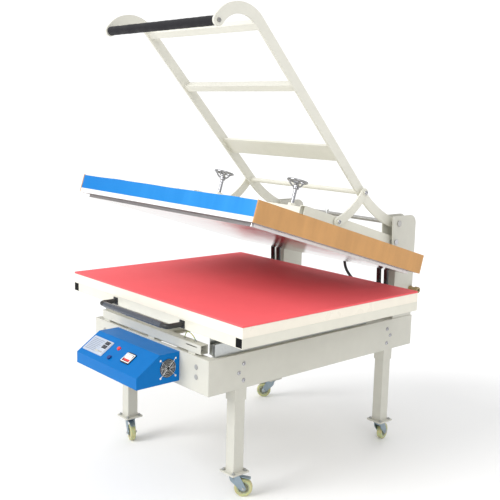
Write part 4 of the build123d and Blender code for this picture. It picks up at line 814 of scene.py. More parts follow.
class PressColours(bpy.types.PropertyGroup):
    """Colours of the press."""

    base_paint: colour_setting("Base paint", "Powder coat of the base, legs and posts", (0.62, 0.61, 0.54))
    frame_paint: colour_setting(
        "Frame paint", "Powder coat of the handle, links and beams", (0.79, 0.775, 0.69),
    )
    tray_paint: colour_setting("Tray paint", "Powder coat of the drawer's tube frame", (0.76, 0.74, 0.64))
    table_paint: colour_setting("Table paint", "Powder coat of the lower platen", (0.90, 0.84, 0.72))
    blue_paint: colour_setting("Blue paint", "Paint of the control box", (0.0, 0.158, 0.49))
    cover_blue: colour_setting("Cover blue", "Paint of the heating platen's cover", (0.0, 0.20, 0.62))
    white_trim: colour_setting("White trim", "Paint of the cover's lower edge", (0.88, 0.88, 0.88))
    castor_zinc: colour_setting("Castor zinc", "Plating of the castors", (0.34, 0.42, 0.48))
    board: colour_setting("Side board", "Fibre board on the platen's sides", (0.63, 0.34, 0.135))
    silicone: colour_setting("Silicone", "Pad of the lower platen", (0.96, 0.135, 0.15))
    panel: colour_setting("Panel", "Controller's panel", (0.55, 0.60, 0.68))
    tyre: colour_setting("Tyre", "Castor wheels", (0.52, 0.52, 0.26))


class PressSizes(bpy.types.PropertyGroup):
    """Small sizes of the fine pieces."""

    weld_radius: length_setting("Weld radius", "Radius of the weld beads", 0.0022)
    sheet_edge: length_setting("Sheet edge", "Rounding of folded sheet edges", 0.0025)
    pad_edge: length_setting("Pad edge", "Rounding of the silicone pad's edge", 0.0018)
    tyre_crown: length_setting("Tyre crown", "Rounding of the castor tyres", 0.006)
    screw_radius: length_setting("Screw radius", "Head radius of the cover's screws", 0.0042)
    guard_wire: length_setting("Guard wire", "Radius of the fan guard's wire", 0.0009)
    cable_radius: length_setting("Cable radius", "Radius of the heater's cable", 0.007)


class StageSettings(bpy.types.PropertyGroup):
    """The stage, its lights and the camera."""

    floor_size: length_setting("Floor size", "Half width of the floor", 40.0)
    floor_colour: colour_setting("Floor colour", "Pale floor", (0.94, 0.94, 0.94))
    key: FloatProperty(name="Key light", description="Strength of the key light", default=1.95, min=0.0)
    fill: FloatProperty(name="Fill light", description="Strength of the fill light", default=0.62, min=0.0)
    sky: FloatProperty(
        name="Sky", description="Strength of the soft surrounding light", default=0.85, min=0.0,
    )
    softness: FloatProperty(
        name="Softness", description="Width of the lights", default=math.radians(34), subtype="ANGLE", min=0.0
    )


# ---- pieces ---------------------------------------------------------------------------------------
class HEATPRESS_OT_finishes(bpy.types.Operator):
    """Give every CAD node its finish"""

    bl_idname = "heatpress.finishes"
    bl_label = "Finish the frame's nodes"

    def execute(self, context):
        by_finish = {
            "base paint": ("base_side_plates", "base_end_plates", "legs", "posts", "front_cross_beam"),
            "frame paint": (
                "handle_arms", "handle_cross_bars", "links", "link_tube", "beams", "beam_cross_bars",
            ),
            "tray paint": ("tray_frame",),
            "table paint": ("platen_table",),
            "blue paint": ("control_box_shell",),
            "white trim": ("heater_trim",),
            "cover blue": ("heater_cover",),
            "turned steel": ("arm_pivot_shaft", "grip_tube"),
            "chrome": ("leg_bolts", "beam_pivot_bolts", "gas_spring_rods", "fan_guard"),
            "wheel chrome": ("handwheel_left", "handwheel_right"),
            "slide zinc": ("slide_outer_members", "slide_middle_members", "slide_inner_members"),
            "castor zinc": (
                "castor_plates",
                *[f"castor_fork_{corner}" for corner in CORNERS],
                *[f"castor_pedal_{corner}" for corner in CORNERS],
            ),
            "tyre": tuple(f"castor_wheel_{corner}" for corner in CORNERS),
            "aged brass": ("cable_gland",),
            "element sheath": ("heating_rods",),
            "fibre board": ("heater_side_boards",),
            "silicone": ("silicone_pad",),
            "grip foam": ("handle_grip",),
            "heated plate": ("heating_plate",),
            "glass cloth": ("insulation_blanket",),
            "black plastic": ("switch_bezel", "fan_frame", "fan_rotor"),
            "handle plastic": ("drawer_handle",),
            "plug plastic": ("tray_end_plugs",),
            "button blue": ("reset_button",),
            "key plastic": ("set_key", "down_key", "up_key"),
            "panel film": ("temperature_controller",),
            "lamp red": ("power_lamp",),
            "rocker": ("power_rocker",),
            "strut black": ("gas_spring_cylinders",),
        }
        for material, nodes in by_finish.items():
            for node in nodes:
                paint_node(node, material)
        bare = [node for node in NODES if not NODES[node].data.materials]
        if bare:
            raise RuntimeError(f"no finish on {bare}")
        return {"FINISHED"}


class HEATPRESS_OT_pad(bpy.types.Operator):
    """Silicone pad with a soft edge, on the lower platen"""

    bl_idname = "heatpress.pad"
    bl_label = "Silicone pad"

    def execute(self, context):
        low, high = span("silicone_pad")
        piece = Piece()
        piece.block(low, high, bevel=context.scene.press_sizes.pad_edge, segments=3)
        pad = piece.finish("press_pad", ["silicone"], "drawer", "red_silicone", ["silicone_pad"])
        return {"FINISHED"}


class HEATPRESS_OT_castors(bpy.types.Operator):
    """Castors with pressed forks, cast tyres and ribbed brake pedals"""

    bl_idname = "heatpress.castors"
    bl_label = "Castors"

    def execute(self, context):
        for corner in CORNERS:
            self.fork(corner)
            self.wheel(corner, context.scene.press_sizes.tyre_crown)
            self.pedal(corner)
        self.plate_bolts()
        return {"FINISHED"}

    def fork(self, corner):
        place = castor_place(corner)
        low, high = span(f"castor_fork_{corner}", place)
        wheel_low, wheel_high = span(f"castor_wheel_{corner}", place)
        axle = (wheel_low + wheel_high) / 2
        crown = high.z
        radius = -low.x
        piece = Piece()
        profile = [(0.0052, crown - 0.0045), (radius - 0.002, crown - 0.0045), (radius, crown - 0.0025)]
        profile += [
            (radius, crown - 0.0012), (radius - 0.0012, crown), (0.0052, crown), (0.0052, crown - 0.0045),
        ]
        piece.turned(profile, place, steps=40)
        across = place @ Matrix.Rotation(math.pi / 2, 4, "X")
        cheek = wheel_high.y + 0.002
        outline = [
            (-radius + 0.006, crown),
            (radius - 0.006, crown),
            (axle.x + 0.011, axle.z + 0.004),
            (axle.x + 0.009, axle.z - 0.0095),
            (axle.x - 0.009, axle.z - 0.0095),
            (-radius + 0.012, crown - 0.024),
        ]
        for side in (-1, 1):
            near, far = sorted((-side * cheek, -side * (cheek + 0.003)))
            piece.plate(outline, near, far, across, corner=0.005, bevel=0.0005)
            boss = across @ Matrix.Translation((axle.x, axle.z, -side * (cheek + 0.003)))
            if side > 0:
                boss = boss @ Matrix.Rotation(math.pi, 4, "X")
            piece.turned([(0.011, 0), (0.011, 0.0006), (0.0095, 0.0012), (0, 0.0012)], boss, steps=28)
            piece.hexagon(0.0068, 0.001, 0.004, boss, material=1)
            piece.turned(
                [(0.0038, 0), (0.0038, 0.0058), (0.003, 0.0065), (0, 0.0065)], boss, steps=20, material=1,
            )
        bridge_low = (radius - 0.018, -cheek, crown - 0.006)
        piece.block(bridge_low, (radius - 0.008, cheek, crown - 0.002), place, bevel=0.0008)
        pedal_spot = place.inverted() @ Vector(JOINTS[f"brake_{corner}"]["pos_m"])
        pin = across @ Matrix.Translation((pedal_spot.x, pedal_spot.z, -cheek - 0.003))
        piece.turned(
            [(0, 0), (0.003, 0), (0.003, 2 * cheek + 0.006), (0, 2 * cheek + 0.006)], pin, steps=20,
            material=1,
        )
        piece.finish(
            f"castor_yoke_{corner}",
            ["castor zinc", "screw zinc"],
            f"castor_swivel_{corner}",
            "castor_zinc",
            [f"castor_fork_{corner}"],
        )

    def wheel(self, corner, crown):
        place = castor_place(corner)
        low, high = span(f"castor_wheel_{corner}", place)
        centre = (low + high) / 2
        radius = (high.z - low.z) / 2
        half = (high.y - low.y) / 2
        axle = place @ Matrix.Translation(centre) @ Matrix.Rotation(-math.pi / 2, 4, "X")
        piece = Piece()
        tyre_side = [(radius * 0.66, half * 0.86)]
        for step in range(7):
            turn = math.radians(90 - 15 * step)
            tyre_side.append((radius - crown + crown * math.cos(turn), half - crown + crown * math.sin(turn)))
        other = [(r, -z) for r, z in reversed(tyre_side)]
        middle = [(radius, half * 0.3), (radius, 0), (radius, -half * 0.3)]
        outline = tyre_side + middle + other
        piece.turned(outline + [outline[0]], axle, steps=56)
        rim = [(radius * 0.69, half * 0.80), (radius * 0.62, half * 0.94), (radius * 0.56, half * 0.90)]
        rim += [(radius * 0.50, half * 0.45), (radius * 0.30, half * 0.42), (radius * 0.26, half * 0.98)]
        rim += [(0.0042, half * 0.98)]
        rim += [(r, -z) for r, z in reversed(rim)]
        piece.turned(rim + [rim[0]], axle, steps=40, material=1)
        for rib in range(6):
            spoke = axle @ Matrix.Rotation(rib * math.pi / 3, 4, "Z")
            reach = (radius * 0.25, -0.0012, -half * 0.86)
            piece.block(reach, (radius * 0.58, 0.0012, half * 0.86), spoke, bevel=0.0006, material=1)
        piece.finish(
            f"castor_tyre_{corner}",
            ["tyre", "hub plastic"],
            f"castor_roll_{corner}",
            "castor_tyre",
            [f"castor_wheel_{corner}"],
        )

    def pedal(self, corner):
        place = castor_place(corner)
        low, high = span(f"castor_pedal_{corner}", place)
        across = place @ Matrix.Rotation(math.pi / 2, 4, "X")
        half = high.y
        top = high.z
        pin_x = low.x + 0.006
        piece = Piece()
        outline = [
            (pin_x - 0.0058, top - 0.0006),
            (pin_x + 0.030, top - 0.0006),
            (high.x - 0.0004, top - 0.0083),
            (high.x - 0.0004, top - 0.0118),
            (pin_x + 0.028, top - 0.0043),
            (pin_x + 0.008, top - 0.0098),
            (pin_x - 0.0058, top - 0.0098),
        ]
        piece.plate(outline, -half, half, across, corner=0.0012, bevel=0.0008)
        slope = math.atan2(-0.0077, high.x - pin_x - 0.030)
        for rib in range(5):
            step = pin_x + 0.036 + rib * 0.0062
            rise = top - 0.0006 + math.tan(slope) * (step - pin_x - 0.030)
            spot = place @ Matrix.Translation((step, 0, rise)) @ Matrix.Rotation(-slope, 4, "Y")
            piece.block((-0.0009, -half + 0.002, -0.001), (0.0009, half - 0.002, 0.0007), spot, bevel=0.0004)
        piece.finish(
            f"castor_brake_lever_{corner}",
            ["castor zinc"],
            f"castor_brake_{corner}",
            "castor_zinc",
            [f"castor_pedal_{corner}"],
        )

    def plate_bolts(self):
        """Bolts through the castor plates and foot plates."""
        piece = Piece()
        plate_top = min(low.z for low, _ in solids("legs")) + 0.006
        for low, high in solids("castor_plates"):
            centre = (low + high) / 2
            for dx in (-0.031, 0.031):
                for dy in (-0.031, 0.031):
                    top = Matrix.Translation((centre.x + dx, centre.y + dy, plate_top))
                    piece.turned([(0.0078, 0), (0.0078, 0.0010), (0, 0.0010)], top, steps=20)
                    piece.hexagon(0.0065, 0.0010, 0.0055, top)
                    piece.turned(
                        [(0.0038, 0.004), (0.0038, 0.0078), (0.003, 0.0085), (0, 0.0085)], top, steps=16,
                    )
        piece.finish("castor_plate_bolts", ["screw zinc"], "base", "bolt_chrome")


class HEATPRESS_OT_handwheels(bpy.types.Operator):
    """Dished chromed handwheels with their pressure screws"""

    bl_idname = "heatpress.handwheels"
    bl_label = "Handwheels"

    def execute(self, context):
        for side in ("left", "right"):
            spot = Vector(JOINTS[f"handwheel_{side}_turn"]["pos_m"])
            place = Matrix.Translation(spot) @ LIFT.to_3x3().to_4x4()
            low, high = span(f"handwheel_{side}", place)
            radius = high.x
            top = high.z
            rim = top - 0.005
            hub = rim - 0.026
            piece = Piece()
            piece.ring(radius - 0.0055, 0.0052, place @ Matrix.Translation((0, 0, rim - 0.0002)), 72, 18)
            profile = [(0, hub + 0.0105), (0.009, hub + 0.0105), (0.0125, hub + 0.008), (0.0138, hub + 0.002)]
            profile += [(0.0138, hub - 0.008), (0.011, hub - 0.0108), (0.0078, hub - 0.0110), (0.0078, low.z)]
            profile += [(0, low.z)]
            piece.turned(profile, place, steps=36)
            piece.hexagon(0.0085, hub + 0.0100, hub + 0.0150, place)
            for turn in (90, 210, 330):
                arm = place @ Matrix.Rotation(math.radians(turn), 4, "Z")
                points = [
                    (0.009, 0, hub), (0.020, 0, hub + 0.003), (0.032, 0, hub + 0.014),
                    (radius - 0.008, 0, rim),
                ]
                piece.wire(points, 0.0038, arm, smooth=True, sides=6)
            knob = place @ Matrix.Rotation(math.radians(-60), 4, "Z")
            knob = knob @ Matrix.Translation((radius - 0.0055, 0, 0))
            stalk = [(0, rim - 0.020), (0.0022, rim - 0.0198), (0.0034, rim - 0.017), (0.0034, rim - 0.012)]
            stalk += [(0.0018, rim - 0.010), (0.0018, rim - 0.003), (0, rim - 0.003)]
            piece.turned(stalk, knob, steps=18)
            piece.finish(
                f"pressure_wheel_{side}",
                ["wheel chrome"],
                f"handwheel_{side}",
                "handwheel_chrome",
                [f"handwheel_{side}"],
            )
        return {"FINISHED"}


class HEATPRESS_OT_grip(bpy.types.Operator):
    """Foam grip with rolled ends"""

    bl_idname = "heatpress.grip"
    bl_label = "Grip"

    def execute(self, context):
        low, high = span("handle_grip")
        centre = (low + high) / 2
        radius = (high.z - low.z) / 2
        along = facing((low.x, centre.y, centre.z), (1, 0, 0))
        length = high.x - low.x
        piece = Piece()
        profile = [(radius * 0.64, 0), (radius * 0.86, 0), (radius * 0.96, 0.0015), (radius * 0.99, 0.004)]
        count = 60
        for step in range(1, count):
            wander = 0.0003 * math.sin(step * 1.7) + 0.0002 * math.sin(step * 0.61)
            profile.append((radius * 0.985 + wander, 0.004 + (length - 0.008) * step / count))
        profile += [
            (radius * 0.99, length - 0.004), (radius * 0.96, length - 0.0015), (radius * 0.86, length),
        ]
        profile += [(radius * 0.64, length), (radius * 0.64, 0)]
        piece.turned(profile, along, steps=40)
        piece.finish("foam_grip", ["grip foam"], "handle", "grip_foam", ["handle_grip"])
        return {"FINISHED"}


class HEATPRESS_OT_drawer_handle(bpy.types.Operator):
    """Drawer handle with a thick moulded grip and black elbows"""

    bl_idname = "heatpress.drawer_handle"
    bl_label = "Drawer handle"

    def execute(self, context):
        low, high = span("drawer_handle")
        points = [vertex.co for vertex in NODES["drawer_handle"].data.vertices]
        feet = [p for p in points if p.x > 0 and p.y > high.y - 0.003]
        front = [p for p in points if p.y < low.y + 0.004]
        height = (low.z + high.z) / 2
        foot_low = Vector((min(p.x for p in feet), high.y - 0.004, min(p.z for p in feet)))
        foot_high = Vector((max(p.x for p in feet), high.y, max(p.z for p in feet)))
        reach = (foot_low.x + foot_high.x) / 2
        radius = 0.0105
        centre_y = min(p.y for p in front) + radius + 0.0015
        bend = 0.022
        piece = Piece()
        for side in (-1, 1):
            path = [
                (side * reach, high.y - 0.002, height),
                (side * reach, centre_y + bend * 1.6, height),
                (side * reach, centre_y + bend * 0.4, height),
                (side * (reach - bend * 0.4), centre_y, height),
                (side * (reach - bend * 1.8), centre_y, height),
            ]
            piece.wire(path, radius, smooth=True, sides=6, material=1)
            first, second = sorted((side * foot_low.x, side * foot_high.x))
            piece.block(
                (first, foot_low.y, foot_low.z), (second, foot_high.y, foot_high.z), bevel=0.0014, material=1
            )
        half = reach - bend * 1.5
        along = facing((-half, centre_y, height), (1, 0, 0))
        fat = 0.0120
        profile = [(0, 0), (fat - 0.002, 0), (fat - 0.0005, 0.0008), (fat, 0.003), (fat, 2 * half - 0.003)]
        profile += [(fat - 0.0005, 2 * half - 0.0008), (fat - 0.002, 2 * half), (0, 2 * half)]
        piece.turned(profile, along, steps=40)
        piece.finish(
            "drawer_pull",
            ["handle plastic", "black plastic"],
            "drawer",
            "black_plastic",
            ["drawer_handle"],
        )
        return {"FINISHED"}


class HEATPRESS_OT_bolts(bpy.types.Operator):
    """Domed bolts, screws, studs and wing screws"""

    bl_idname = "heatpress.bolts"
    bl_label = "Bolts and screws"

    def execute(self, context):
        piece = Piece()
        for low, high in solids("leg_bolts"):
            side = 1 if high.x > 0 else -1
            centre = (low + high) / 2
            face = span("base_side_plates")[1].x * side
            place = facing((face, centre.y, centre.z), (side, 0, 0))
            dome_bolt(piece, place, 0.0079, 0.0048)
        piece.finish("side_plate_bolts", ["chrome"], "base", "bolt_chrome", ["leg_bolts"])

        piece = Piece()
        plate = span("base_end_plates")
        for x in (-0.338, 0.338):
            for z in (plate[0].z + 0.060, plate[0].z + 0.100):
                place = facing((x, plate[0].y, z), (0, -1, 0))
                profile = [(0.0105, 0), (0.0105, 0.0012), (0.0090, 0.0026), (0.0040, 0.0030), (0, 0.0030)]
                piece.turned(profile, place, steps=28)
        piece.finish("front_plate_screws", ["screw cap"], "base", "bolt_chrome")

        low, high = span("links")
        upper = Vector(JOINTS["link_swing"]["pos_m"])
        eye = high.y - upper.y
        lower = Vector((0, low.y + eye, low.z + eye))
        for name, node, body, spot in (
            ("link_studs", "link_tube", "handle", upper),
            ("beam_studs", "beams", "lifting_frame", lower),
        ):
            piece = Piece()
            outer = max(high.x, span(node)[1].x)
            for side in (-1, 1):
                place = facing((side * outer, spot.y, spot.z), (side, 0, 0))
                dome_bolt(piece, place, 0.0085, 0.0050)
            piece.finish(name, ["chrome"], body, "bolt_chrome")

        piece = Piece()
        for side in (-1, 1):
            place = LIFT @ Matrix.Translation((side * 0.370, -0.452, 0.025))
            piece.turned(
                [(0.0055, 0), (0.0055, 0.002), (0.003, 0.0022), (0.003, 0.012), (0, 0.012)], place,
                steps=20,
            )
            for lean in (-1, 1):
                outline = [
                    (lean * 0.001, 0.010), (lean * 0.010, 0.014), (lean * 0.012, 0.023),
                    (lean * 0.004, 0.022),
                ]
                upright = place @ Matrix.Rotation(math.pi / 2, 4, "X")
                piece.plate(outline, -0.0012, 0.0012, upright, corner=0.0015, bevel=0.0004)
        piece.finish("beam_wing_screws", ["screw zinc"], "lifting_frame", "bolt_chrome")
        return {"FINISHED"}


class HEATPRESS_OT_controls(bpy.types.Operator):
    """Displays, labels and indicator lights on the sloping control panel"""

    bl_idname = "heatpress.controls"
    bl_label = "Control panel"

    def execute(self, context):
        low, high = span("temperature_controller", SLOPE)
        top = high.z
        face = Piece()
        inset = 0.004
        face.block(
            (low.x + inset, low.y + inset, top - 0.0004), (high.x - 0.052, high.y - inset, top + 0.0004),
            SLOPE, 0.0003, 1,
        )
        for row in range(8):
            y = high.y - 0.012 - row * 0.0078
            face.block(
                (low.x + 0.010, y - 0.0010, top + 0.0002),
                (high.x - 0.060 - 0.006 * (row % 3), y + 0.0010, top + 0.0007), SLOPE, 0.0002, 1, 1,
            )
        face.finish("controller_label", ["label film", "ink grey"], "base", "controller_plastic")

        unit = Piece()
        unit_low = high.x - 0.048
        unit_high = high.x - 0.006
        housing_low = (unit_low, low.y + 0.006, top - 0.0005)
        unit.block(housing_low, (unit_high, high.y - 0.006, top + 0.0022), SLOPE, 0.0012, 2)
        for rise in (0.030, 0.010):
            middle = (low.y + high.y) / 2 + rise - 0.006
            window_low = (unit_low + 0.005, middle - 0.0085, top + 0.0016)
            unit.block(window_low, (unit_high - 0.005, middle + 0.0085, top + 0.0026), SLOPE, 0.0004, 1, 1)
            for digit in range(3):
                x = unit_low + 0.0095 + digit * 0.0080
                for dx, dy, sx, sy in (
                    (0, 0.0045, 0.0018, 0.0003), (0, 0, 0.0018, 0.0003), (0, -0.0045, 0.0018, 0.0003),
                    (0.0022, 0.0022, 0.0003, 0.0018), (0.0022, -0.0022, 0.0003, 0.0018),
                    (-0.0022, 0.0022, 0.0003, 0.0018), (-0.0022, -0.0022, 0.0003, 0.0018),
                ):
                    corner = (x + 0.003 + dx - sx, middle + dy - sy, top + 0.0024)
                    unit.block(
                        corner, (x + 0.003 + dx + sx, middle + dy + sy, top + 0.0028), SLOPE, 0.0, 1, 2,
                    )
        unit.finish("controller_unit", ["panel film", "display", "ink grey"], "base", "controller_plastic")

        lights = Piece()
        for index in range(3):
            x = unit_low + 0.010 + index * 0.011
            place = SLOPE @ Matrix.Translation((x, low.y + 0.016, top + 0.0018))
            lights.turned([(0.0015, 0), (0.0015, 0.0009), (0.0009, 0.0014), (0, 0.0015)], place, steps=14)
        lights.finish("controller_lights", ["indicator amber"], "base", "lamp_red")

        low, high = span("power_rocker", SLOPE)
        rise = span("switch_bezel", SLOPE)[1].z
        collar = Piece()
        gap, travel, width = 0.0006, 0.0030, 0.0042
        left, right, bottom, upper = low.x - gap, high.x + gap, low.y - travel, high.y + travel
        for corners in (
            ((left - width, bottom - width), (left, upper + width)),
            ((right, bottom - width), (right + width, upper + width)),
            ((left, bottom - width), (right, bottom)),
            ((left, upper), (right, upper + width)),
        ):
            first, second = corners
            collar.block((*first, rise - 0.0006), (*second, rise + 0.0010), SLOPE, 0.0004, 1)
        collar.finish("switch_collar", ["white plastic"], "base", "black_plastic")
        return {"FINISHED"}


class HEATPRESS_OT_fan(bpy.types.Operator):
    """Fan guard of round wire, and a rotor with curved blades"""

    bl_idname = "heatpress.fan"
    bl_label = "Cooling fan"

    def execute(self, context):
        low, high = span("fan_guard")
        centre = (low + high) / 2
        wire = context.scene.press_sizes.guard_wire
        place = facing((low.x + wire, centre.y, centre.z), (1, 0, 0))
        piece = Piece()
        for radius in (0.008, 0.0145, 0.021, 0.0275, 0.034):
            piece.ring(radius, wire, place @ Matrix.Translation((0, 0, wire * 0.4)), 48, 8)
        for turn in range(8):
            arm = place @ Matrix.Rotation(math.radians(45 * turn), 4, "Z")
            reach = 0.0500 if turn % 2 else 0.034
            if turn % 2 or turn % 4 == 0:
                piece.wire([(0.007, 0, -wire * 0.1), (reach, 0, -wire * 0.1)], wire * 0.9, arm, sides=3)
        for dy in (-1, 1):
            for dz in (-1, 1):
                spot = facing((low.x, centre.y + dy * 0.03575, centre.z + dz * 0.03575), (1, 0, 0))
                piece.ring(0.0038, wire, spot @ Matrix.Translation((0, 0, wire)), 24, 6)
                piece.turned([(0.0036, 0), (0.0036, 0.001), (0.0022, 0.0022), (0, 0.0023)], spot, steps=20)
        piece.finish("fan_wire_guard", ["guard chrome"], "base", "guard_chrome", ["fan_guard"])

        low, high = span("fan_rotor")
        centre = (low + high) / 2
        place = facing((low.x, centre.y, centre.z), (1, 0, 0))
        depth = high.x - low.x
        piece = Piece()
        profile = [(0, 0), (0.0155, 0), (0.0158, 0.001), (0.0158, depth - 0.002), (0.0140, depth), (0, depth)]
        piece.turned(profile, place, steps=36)
        blades = 7
        for blade in range(blades):
            around = place @ Matrix.Rotation(2 * math.pi * blade / blades, 4, "Z")
            outline = [
                (0.0150, -0.0075), (0.0355, -0.0110), (0.0362, 0.0015), (0.0345, 0.0100), (0.0150, 0.0075),
            ]
            pitched = around @ Matrix.Translation((0, 0, depth / 2))
            pitched = pitched @ Matrix.Rotation(math.radians(38), 4, "X")
            piece.plate(outline, -0.0007, 0.0007, pitched, corner=0.002, bevel=0.0003)
        piece.finish("fan_blades", ["black plastic"], "fan_rotor", "black_plastic", ["fan_rotor"])
        return {"FINISHED"}


class HEATPRESS_OT_cover(bpy.types.Operator):
    """Sheet cover of the heating platen with folded edges, swages and screws"""

    bl_idname = "heatpress.cover"
    bl_label = "Heating platen cover"

    def execute(self, context):
        sizes = context.scene.press_sizes
        low, high = span("heater_cover", LIFT)
        board_high = span("heater_side_boards", LIFT)[1]
        top = board_high.z
        piece = Piece()
        bm = bmesh.new()
        size = Vector((high.x - low.x, high.y - low.y, top - low.z))
        centre = Vector(((low.x + high.x) / 2, (low.y + high.y) / 2, (top + low.z) / 2))
        bmesh.ops.create_cube(bm, size=1, matrix=Matrix.Translation(centre) @ Matrix.Diagonal((*size, 1)))
        bottom = [face for face in bm.faces if face.normal.z < -0.9]
        bmesh.ops.delete(bm, geom=bottom, context="FACES")
        lid = [face for face in bm.faces if face.normal.z > 0.9]
        for thickness, depth in ((0.030, 0.0), (0.004, -0.0016)):
            bmesh.ops.inset_region(bm, faces=lid, thickness=thickness, depth=depth)
        folds = [edge for edge in bm.edges if len(edge.link_faces) == 2 and edge.calc_face_angle(0) > 1.0]
        bmesh.ops.bevel(
            bm, geom=folds, offset=sizes.sheet_edge, affect="EDGES", segments=3, profile=0.5, material=-1
        )
        long_edges = [edge for edge in bm.edges if edge.calc_length() > 0.9]
        bmesh.ops.subdivide_edges(bm, edges=long_edges, cuts=24, use_grid_fill=True)
        for vertex in bm.verts:
            near_top = max(0.0, 1 - (top - vertex.co.z) / 0.02)
            wave = math.sin(vertex.co.x * 9.0 + 0.6) + 0.6 * math.sin(vertex.co.x * 23.0)
            vertex.co.z -= near_top * 0.0007 * (1.6 + wave)
        bmesh.ops.recalc_face_normals(bm, faces=bm.faces)
        bmesh.ops.solidify(bm, geom=bm.faces[:], thickness=0.0015)
        bm.faces.index_update()
        fronts = [face.index for face in bm.faces if face.normal.y < -0.7]
        piece.take(bm, LIFT, material=1)
        piece.bm.faces.ensure_lookup_table()
        for index in fronts:
            piece.bm.faces[index].material_index = 0
        for side in (-1, 1):
            collar = JOINTS["handwheel_right_turn" if side > 0 else "handwheel_left_turn"]["pos_m"]
            spot = LIFT.inverted() @ Vector(collar)
            place = LIFT @ Matrix.Translation((spot.x, spot.y, 0))
            profile = [
                (0.0081, top - 0.004), (0.0260, top - 0.004), (0.0260, top - 0.001), (0.0222, top + 0.001),
            ]
            profile += [(0.0215, high.z - 0.001), (0.0205, high.z), (0.0081, high.z), (0.0081, top - 0.004)]
            piece.turned(profile, place, steps=40, material=1)
        for x in (-0.55, -0.33, -0.11, 0.11, 0.33, 0.55):
            for y in (low.y + 0.014, high.y - 0.014):
                place = LIFT @ Matrix.Translation((x, y, top - 0.0030))
                piece.turned(screw_profile(sizes.screw_radius), place, steps=20, material=2)
        for y in (-0.38, -0.19, 0.0, 0.19, 0.38):
            for x in (low.x + 0.014, high.x - 0.014):
                place = LIFT @ Matrix.Translation((x, centre.y + y, top - 0.0030))
                piece.turned(screw_profile(sizes.screw_radius), place, steps=20, material=2)
        piece.finish(
            "platen_cover",
            ["cover blue", "frame paint", "screw zinc"],
            "heating_platen",
            "blue_paint",
            ["heater_cover"],
        )
        return {"FINISHED"}


def screw_profile(radius):
    """Pan head with a shallow recess."""
    return [
        (radius, 0), (radius, 0.0022), (radius * 0.8, 0.0032), (radius * 0.3, 0.0035),
        (radius * 0.25, 0.0024), (0, 0.0024),
    ]


class HEATPRESS_OT_welds(bpy.types.Operator):
    """Rippled weld beads where tubes and bars join"""

    bl_idname = "heatpress.welds"
    bl_label = "Weld beads"

    def bead(self, piece, start, end, radius, place=Matrix.Identity(4)):
        start, end = Vector(start), Vector(end)
        count = max(4, int((end - start).length / 0.0035))
        profile = [(0, 0)]
        for step in range(count + 1):
            along = (end - start).length * step / count
            profile.append((radius * (0.86 if step % 2 else 1.05), along))
        profile.append((0, (end - start).length))
        piece.turned(profile, place @ facing(start, end - start), steps=8)

    def execute(self, context):
        radius = context.scene.press_sizes.weld_radius
        handle = Piece()
        inner = span("handle_grip")[1].x + 0.001
        for low, high in solids("handle_cross_bars"):
            for x in (-inner + 0.0006, inner - 0.0006):
                slope = (high - low).z
                if slope < 0.055:
                    middle = (low + high) / 2
                    half = 0.0150
                    turn = math.radians(47.2)
                    down = Vector((0, math.cos(turn), -math.sin(turn)))
                    out = Vector((0, math.sin(turn), math.cos(turn)))
                    corners = [
                        middle + down * a * half + out * b * half for a,
                        b in ((1, 1), (1, -1), (-1, -1), (-1, 1))
                    ]
                    for first, second in zip(corners, corners[1:] + corners[:1]):
                        self.bead(handle, (x, first.y, first.z), (x, second.y, second.z), radius)
        handle.finish("handle_welds", ["weld"], "handle", "frame_paint")

        base = Piece()
        leg_top = span("base_side_plates")[0].z
        for low, high in solids("castor_plates"):
            centre = (low + high) / 2
            half = 0.025
            plate_top = span("legs")[0].z + 0.006
            for z, reach in ((plate_top, half), (leg_top - 0.050, half)):
                corners = [(-reach, -reach), (reach, -reach), (reach, reach), (-reach, reach)]
                for first, second in zip(corners, corners[1:] + corners[:1]):
                    self.bead(
                        base,
                        (centre.x + first[0], centre.y + first[1], z),
                        (centre.x + second[0], centre.y + second[1], z),
                        radius,
                    )
        base.finish("leg_welds", ["base paint"], "base", "base_paint")

        tray = Piece()
        low, high = span("tray_frame")
        for x in (low.x + 0.040, high.x - 0.040):
            for y in (low.y + 0.0006, high.y - 0.0006):
                self.bead(tray, (x, y, low.z + 0.002), (x, y, high.z - 0.001), radius * 0.7)
        tray.finish("tray_welds", ["tray paint"], "drawer", "tray_paint")
        return {"FINISHED"}


